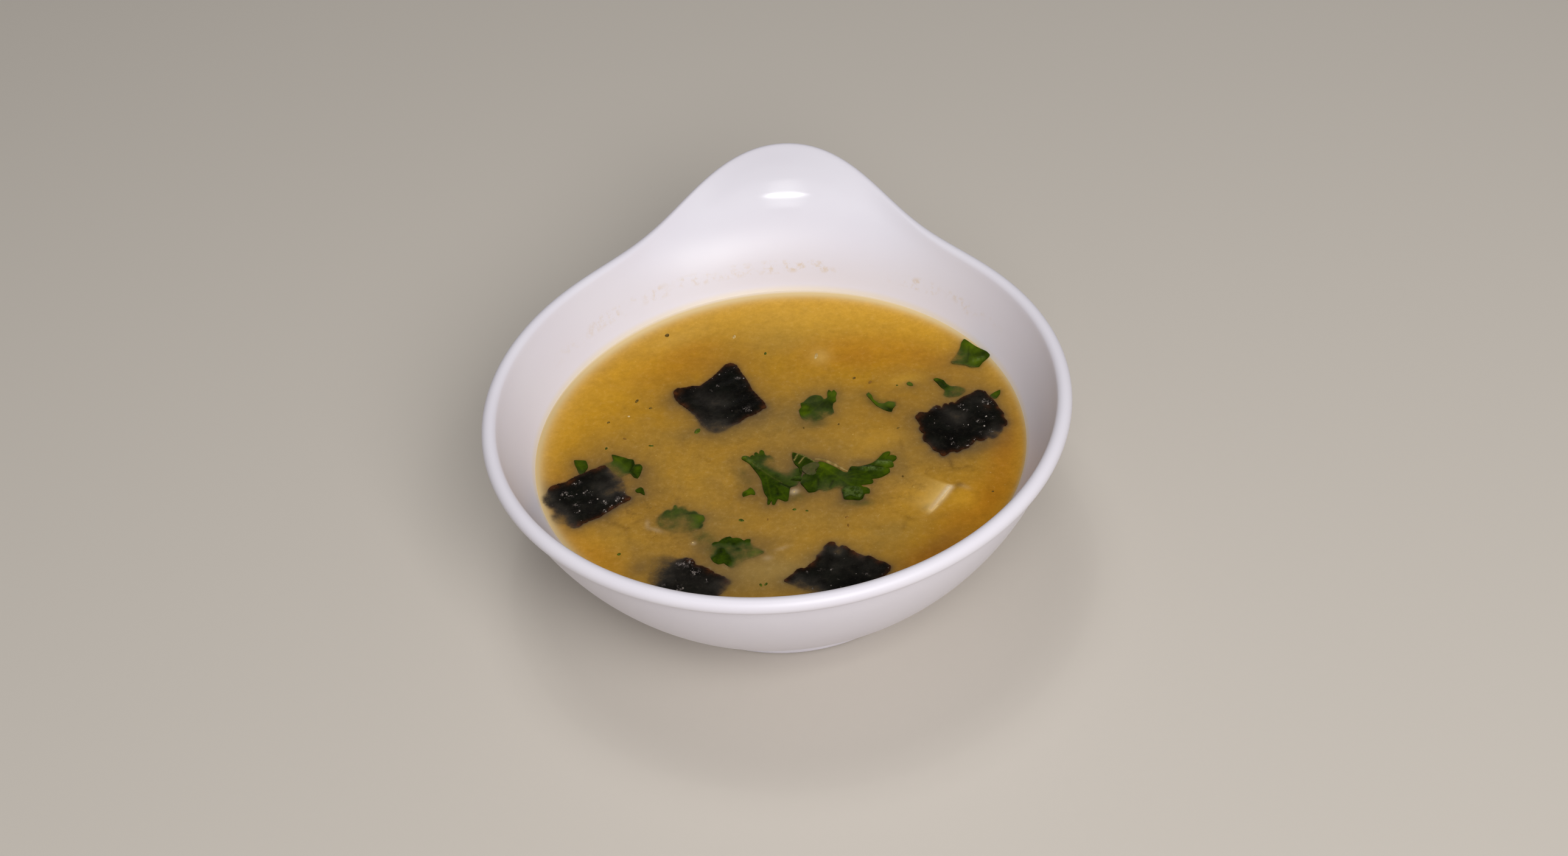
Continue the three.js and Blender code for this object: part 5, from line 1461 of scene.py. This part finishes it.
for number, (kind, (dark, light)) in enumerate(CRUMB_COLOURS.items()):
    dice = np.random.default_rng(number + 71)
    crumb_paint, place = new_finish(kind + "_crumb", IOR=1.4, Roughness=0.4, Specular_IOR_Level=0.1)
    place.mix(dark, light, place.noise(0.5, 2).ramp(0.35, 0.65)).feed("Base Color")
    lumps = []
    for x, y, length, width, heading in CRUMBS[kind]:
        turn = math.radians(heading)
        turns = np.arange(CRUMB_CORNERS) / CRUMB_CORNERS * 2 * np.pi
        size = dice.uniform(*CRUMB_SPREAD, CRUMB_CORNERS)
        along = length / 2 * np.cos(turns) * size
        across = width / 2 * np.sin(turns) * size
        offset_x = along * math.cos(turn) - across * math.sin(turn)
        offset_y = along * math.sin(turn) + across * math.cos(turn)
        low, high = np.arange(2 * CRUMB_CORNERS).reshape(2, -1).tolist()
        points = []
        for share, height in ((1, -CRUMB_RISE), (2 / 3, 0.6 * CRUMB_RISE)):
            level = np.full(CRUMB_CORNERS, LEVEL + height)
            points += [*np.column_stack([x + offset_x * share, y + offset_y * share, level])]
        points += [(x, y, LEVEL + CRUMB_RISE), (x, y, LEVEL - 2 * CRUMB_RISE)]
        faces = band(low, high)
        faces += [(a, b, len(points) - 2) for a, b in pairs(high)]
        faces += [(b, a, len(points) - 1) for a, b in pairs(low)]
        lumps.append((points, faces))
    crumbs = make_piece(kind + "_crumbs", *joined(lumps), crumb_paint)
    rounder = crumbs.modifiers.new("rounder", "SUBSURF")
    rounder.levels = rounder.render_levels = 2
    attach(crumbs, "root")
    "tofu" if kind == "pale" else "coriander"

# --- Tofu -------------------------------------------------------------------------------------
# A cube of silken bean curd that hangs in the broth, tilted so that one edge just breaks the
# surface. Its top face sinks away to the left and glows through the broth.

TOFU_SIDE = 8.5
TOFU_ROUND = 0.5
TOFU_EDGE_START = (35.2, -15.2)
TOFU_EDGE_END = (31.2, -21.9)
TOFU_EDGE_RISE = (0.19, 0.17)  # of the edge's two ends above the level
TOFU_TILT = 8  # degrees
TOFU_CELLS = 40
TOFU_WET = 0.12  # height above the level below which the broth laps over it
TOFU_DROWNED = 0.75  # how much the broth laps over the edge's lower end

CURD_DARK = paint(214, 188, 144)
CURD_LIGHT = paint(226, 202, 162)
CURD_LAPPED = paint(206, 166, 98)


def places_of(piece):
    """The places of a piece's points, in mm about the bowl's axis."""
    places = np.empty(len(piece.data.vertices) * 3, np.float32)
    piece.data.vertices.foreach_get("co", places)
    return places.reshape(-1, 3) / MM - (*AXIS, 0)


curd, place = new_finish("silken_curd", IOR=1.4, Roughness=0.45, Specular_IOR_Level=0.2)
pores = place.noise(0.5, 4, 0.6)
colour = place.mix(CURD_DARK, CURD_LIGHT, pores.ramp(0.3, 0.7))
place.mix(colour, CURD_LAPPED, place.attribute("lapped")).feed("Base Color")
place.bump(pores, 0.3, 0.1).feed("Normal")

start = np.array([*TOFU_EDGE_START, LEVEL + TOFU_EDGE_RISE[0]])
end = np.array([*TOFU_EDGE_END, LEVEL + TOFU_EDGE_RISE[1]])
tofu_along = (end - start) / np.linalg.norm(end - start)
tilt = math.radians(TOFU_TILT)
down = np.array([0, 0, -1])
tofu_down = down * math.cos(tilt) + np.cross(tofu_along, down) * math.sin(tilt)
tofu_across = np.cross(tofu_down, tofu_along)
centre = (start + end) / 2 + (tofu_across + tofu_down) * TOFU_SIDE / 2
steps = np.linspace(-1, 1, TOFU_CELLS + 1)
points, faces = [], []
for axis in range(3):
    for side in (-1, 1):
        first, second = (axis + 1) % 3, (axis + 2) % 3
        grid = np.zeros((len(steps), len(steps), 3))
        grid[..., axis] = side
        grid[..., first] = steps[:, None]
        grid[..., second] = steps[None, :]
        offset = len(points)
        points += (grid.reshape(-1, 3) * TOFU_SIDE / 2).tolist()
        for row in range(TOFU_CELLS):
            for column in range(TOFU_CELLS):
                corner = offset + row * len(steps) + column
                ring = (corner, corner + len(steps), corner + len(steps) + 1, corner + 1)
                faces.append(ring if side > 0 else ring[::-1])
points = np.array(points)
core = np.clip(points, TOFU_ROUND - TOFU_SIDE / 2, TOFU_SIDE / 2 - TOFU_ROUND)
out = points - core
out *= TOFU_ROUND / np.linalg.norm(out, axis=1)[:, None]
points = centre + (core + out) @ np.array([tofu_along, tofu_across, tofu_down])
tofu = make_piece("tofu_block", points, faces, curd)
welded = bmesh.new()
welded.from_mesh(tofu.data)
bmesh.ops.remove_doubles(welded, verts=welded.verts, dist=1e-6)
welded.to_mesh(tofu.data)
welded.free()
corners = places_of(tofu)
clear = np.clip((corners[:, 2] - LEVEL) / TOFU_WET, 0, 1)
drowned = np.clip((corners - start)[:, :2] @ tofu_along[:2] / TOFU_SIDE, 0, 1)
set_attribute(tofu, "lapped", 1 - clear * (1 - TOFU_DROWNED * drowned**1.5))
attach(tofu, "root")
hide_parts("tofu_cube")

# --- Clouding ---------------------------------------------------------------------------------
# The broth is clearer and more golden by the wall, thick with paste in the middle, shaded under
# and beside what floats, and paler over the tofu. The same clouds lie over every sunk sheet.

PASTE = 0.2  # how much of it hangs in the broth everywhere
# Clouds are x, y, half length, half width, heading in degrees and strength.
PASTE_CLOUDS = [
    (6, -6, 24, 10, 12, 0.45), (2, 8, 13, 7, 20, 0.55), (-3, -38, 20, 8, 0, 0.75),
    (38, 8, 10, 14, 20, 0.3), (-14, 16, 13, 11, 0, 0.1), (-22, -8, 14, 9, -20, 0.3),
    (-14, -24, 9, 6, -30, 0.5), (24, -8, 9, 6, 0, 0.35), (-31, -28, 10, 6, -40, 0.35),
    (8, -23, 17, 8, 0, 0.4), (0, 36, 18, 6, 0, 0.5), (22, -28, 8, 4, 20, 0.45), (-16, 4, 9, 3, 5, 0.35),
    (10, 14, 6, 4, 0, 0.3), (0, 44, 22, 4, 0, 0.3), (-27, 4, 13, 7, 10, 0.2), (-2, 33, 6, 7, 0, 0.35),
]
SHADE_CLOUDS = [
    (-6.4, -10, 2, 3.4, 30, 0.35), (17.6, -6.8, 2.8, 1.3, 5, 0.45), (25, -10, 2, 3, 0, 0.25),
    (17, -18.6, 3.4, 1, 5, 0.15), (-34, -18.6, 4.5, 2, 35, 0.5), (-48.6, -13.5, 2, 4.5, 10, 0.6),
    (41, -3.6, 4.5, 2.2, 30, 0.5), (-14, 5.2, 6, 2, 10, 0.4), (-4, 8.6, 3.5, 2.5, 40, 0.4),
    (-14.5, -30, 2.5, 3, 0, 0.35), (8.5, -34, 3, 2.5, 40, 0.4), (-26.5, -35, 2.5, 3, 0, 0.5),
    (27, 3.5, 2.2, 5, 0, 0.25), (7.5, 5.6, 3.5, 1.4, 0, 0.3), (-1.5, -28.8, 4, 2, 0, 0.25),
    (36.6, -14.7, 1.3, 0.7, 10, 0.3), (30.2, -20.6, 1, 0.5, 45, 0.25), (-27.5, -7.5, 2, 3, 0, 0.3),
    (-24, 14, 2, 3, 20, 0.3), (47, 4, 1.5, 5, 0, 0.25), (-20.5, -22.5, 3, 2.4, 0, 0.3),
    (-6, -31, 5, 3, 0, 0.25), (33, -31, 6, 3, 40, 0.3),
]
GREEN_CLOUDS = [
    (-14.6, -27, 3.6, 1.8, -45, 0.26), (-12.2, -31, 1.8, 2.6, 0, 0.18), (-21, -24, 4, 2.4, -15, 0.12),
    (20.6, 11.8, 3, 1.5, -40, 0.28), (16.5, -18.8, 3.6, 1.1, 0, 0.22), (3.6, -16.6, 2.4, 1.4, 0, 0.2),
    (-7, -10, 1.6, 3, 20, 0.15), (7.5, 6, 3, 1.6, 0, 0.18),
]
GLOW_CLOUDS = [
    (0, -37, 8, 3.5, 0, 0.12), (2, 43, 20, 4, 0, 0.05), (8, 27.5, 2.2, 2.6, 0, 0.3),
    (-24, 36, 8, 3, 30, 0.12),
]
SMUDGES = [
    (35.2, -8, 1.7, 0.45, 100, 0.7), (37.7, -9.5, 1.3, 0.5, 20, 0.4), (36.6, -14.4, 1.1, 0.8, -30, 0.6),
    (30.1, -20.4, 1.1, 0.55, 40, 0.6), (26.4, -23.6, 1.5, 0.55, -35, 0.55),
    (25.4, -26.1, 1.3, 0.5, 80, 0.4), (25.2, -1.8, 1.9, 0.4, 95, 0.5), (20.8, -25.9, 1, 0.6, 0, 0.35),
    (-34.2, -21.1, 0.6, 1.6, 10, 0.35), (-31.9, -22.8, 1.8, 0.6, -30, 0.35),
    (-29.8, -25.5, 0.6, 1.5, 20, 0.35), (-28, -22.1, 1.5, 0.5, 30, 0.35),
    (-18.3, -24.3, 0.4, 1.2, -20, 0.4), (19.3, 18.5, 1, 0.7, 20, 0.35), (-4.6, -17, 1, 0.6, 20, 0.3),
]
WHITE_SPOTS = [
    (3.4, -14.9, 0.9, 0.8, 30, 0.5), (-1.3, -33.6, 0.9, 0.7, 0, 0.16), (1.4, -31, 1.4, 0.5, 20, 0.14),
    (-16.2, -28.8, 0.5, 0.45, 0, 0.3), (-25.9, -22.9, 0.5, 1.3, 5, 0.16),
    (-24.1, -24.6, 1.6, 0.5, -25, 0.2), (38, -15.3, 1.3, 0.6, -35, 0.12),
    (-3.6, -9, 0.5, 0.9, 20, 0.15),
]
CURD_CLOUDS = [(-28, -20, 16, 8, -35, 0.5), (26, -14, 14, 6, 20, 0.4), (-12, -2, 16, 12, 0, 0.2)]
# Amber clouds make the broth darker and redder; at the front on the right they also stand for the
# wall's shadow, as painted shade.
AMBER_CLOUDS = [
    (42.5, -22.5, 15, 5.5, 52, 0.9), (47, -4, 12, 4, 85, 0.6), (16, 27, 13, 4.5, -6, 0.35),
    (30, 27, 9, 4, -40, 0.25), (-38, -30, 10, 4, -45, 0.52), (-45, -14, 8, 3, 100, 0.4),
    (16, 32, 9, 4, -4, 0.35), (-20, 32, 7, 3, 20, 0.25), (-23, 26, 14, 6, 15, 0.32),
    (32, -34, 9, 3, 35, 0.8),
]
GOLD_CLOUDS = [
    (8, 45, 46, 13, -4, 0.7), (-36, 24, 20, 8, 50, 0.3), (22, 0, 6, 3, 20, 0.25),
    (38, -27, 8, 3, 45, 0.2), (26.5, 18.6, 3.4, 1.7, 10, 0.8), (37.5, -19, 3, 3.5, 40, 0.4),
    (-38, -27, 5, 3, -40, 0.25),
]
RIM_WIDTH = (1.1, 0.5, -0.4)  # of the thin edge: its mean, and the gain towards the back and right
RIM_BACK_GAIN, RIM_RIGHT_LOSS = 0.6, 0.5  # how its strength changes towards the back and the right
EDGE_WIDTH = 3.2  # of the clear golden band inside it
EDGE_STRENGTH = 0.6
CLIMBING = 0.4  # past the line of the wall the thin edge goes on thinning this far
NEAR_SHADE_REACH = 0.45
SHADE_DEPTH = 1.5  # sunk this deep, a thing shades the surface much less
FRONT_SHADE, FRONT_REACH = 0.25, 8  # how much more it shades the broth on the diner's side
TINT_GAP, TINT_DEPTH = 0.4, 0.08  # a floating thing doesn't tint the broth round it, a sunk one does
TOFU_GLOW, TOFU_GLOW_REACH = 0.9, 2.6  # over the tofu's top face
BESIDE_GLOW, BESIDE_REACH, BESIDE_HALF_LENGTH = 0.4, 0.5, 2.5
STREAK_MIDDLE, STREAK_WIDTH = 0.4, 0.7  # of the white streak of curd along the tofu's edge
STREAK_STRENGTH, STREAK_FADE = 0.5, 0.25


def clouds(places, spots):
    """Soft long clouds laid over each other, 0 to 1."""
    clear = np.ones(len(places))
    for x, y, half_length, half_width, heading, strength in spots:
        turn = math.radians(heading)
        dx, dy = places[:, 0] - x, places[:, 1] - y
        along = (dx * math.cos(turn) + dy * math.sin(turn)) / half_length
        across = (dy * math.cos(turn) - dx * math.sin(turn)) / half_width
        clear *= 1 - strength * np.exp(-(along**2 + across**2))
    return 1 - clear


def falling(distance, reach):
    """1 at no distance, and fading over a reach."""
    return np.exp(-np.maximum(distance, 0) / reach)


def broth_state(places, tinted):
    """The broth's attributes at some places; tints are only for its own surface."""
    radius = np.maximum(np.hypot(*places.T), 1)
    from_wall = LEVEL_RADIUS - np.hypot(*places.T)
    to_right, to_back = places.T / radius
    rim_width = RIM_WIDTH[0] + RIM_WIDTH[1] * to_back + RIM_WIDTH[2] * to_right
    rim = 1 + RIM_BACK_GAIN * np.maximum(to_back, 0) - RIM_RIGHT_LOSS * np.maximum(to_right, 0)
    edge = EDGE_STRENGTH * falling(from_wall, EDGE_WIDTH)
    state = {
        "rim": rim * np.exp(-np.maximum(from_wall, -CLIMBING) / rim_width),
        "curdy": clouds(places, CURD_CLOUDS),
        "smudge": clouds(places, SMUDGES),
        "edge": 1 - (1 - edge) * (1 - clouds(places, GOLD_CLOUDS)),
        "khaki": 1 - (1 - PASTE) * (1 - clouds(places, PASTE_CLOUDS)),
        "amber": clouds(places, AMBER_CLOUDS),
        "dark": np.zeros(len(places)),
        "green": clouds(places, GREEN_CLOUDS) if tinted else np.zeros(len(places)),
    }
    lit = 1 - clouds(places, SHADE_CLOUDS)
    for thing in afloat:
        outline, reach = thing["outline"], thing["reach"]
        near = (places > outline.min(0) - 3 * reach) & (places < outline.max(0) + 3 * reach)
        near = near.all(1)
        inside = inside_distance(places[near], outline)
        depth = sunk_depth(places[near], thing["sunk"])
        to_front = np.clip((outline.mean(0) - places[near])[:, 1] / FRONT_REACH, -1, 1)
        shade = thing["near"] * falling(-inside, NEAR_SHADE_REACH)
        shade = shade + thing["far"] * (1 + FRONT_SHADE * to_front) * falling(-inside, reach)
        lit[near] *= 1 - shade * np.exp(-depth / SHADE_DEPTH)
        if tinted:
            gap = TINT_GAP * np.exp(-depth / TINT_DEPTH)
            tint = seen_through(depth, np.minimum(inside, 0) - gap)
            state[thing["tint"]][near] = np.maximum(state[thing["tint"]][near], tint)
    state["shade"] = 1 - lit
    # The tofu glows through the broth over its top face and beside the edge that breaks through.
    middle = (np.array(TOFU_EDGE_START) + TOFU_EDGE_END) / 2
    along = (places - middle) @ tofu_along[:2]
    across = (places - middle) @ (tofu_across[:2] / np.linalg.norm(tofu_across[:2]))
    half = TOFU_SIDE / 2
    ends = 1 / (1 + np.exp(-(along + half) / 0.12)) / (1 + np.exp((along - half) / 0.5))
    above_top = TOFU_GLOW * falling(across, TOFU_GLOW_REACH) * (across > 0)
    beside = BESIDE_GLOW * falling(-across, BESIDE_REACH) * (across <= 0)
    beside = beside * np.exp(-((along / BESIDE_HALF_LENGTH) ** 2))
    state["glow"] = np.maximum(ends * (above_top + beside), clouds(places, GLOW_CLOUDS))
    streak = np.exp(-(((across - STREAK_MIDDLE) / STREAK_WIDTH) ** 2))
    streak = streak * (STREAK_STRENGTH - STREAK_FADE * np.clip(along / half, -1, 1))
    state["curd"] = np.maximum(ends * streak, clouds(places, WHITE_SPOTS))
    return state


for piece in [*veiled, broth]:
    for name, values in broth_state(places_of(piece)[:, :2], piece == broth).items():
        set_attribute(piece, name, values)
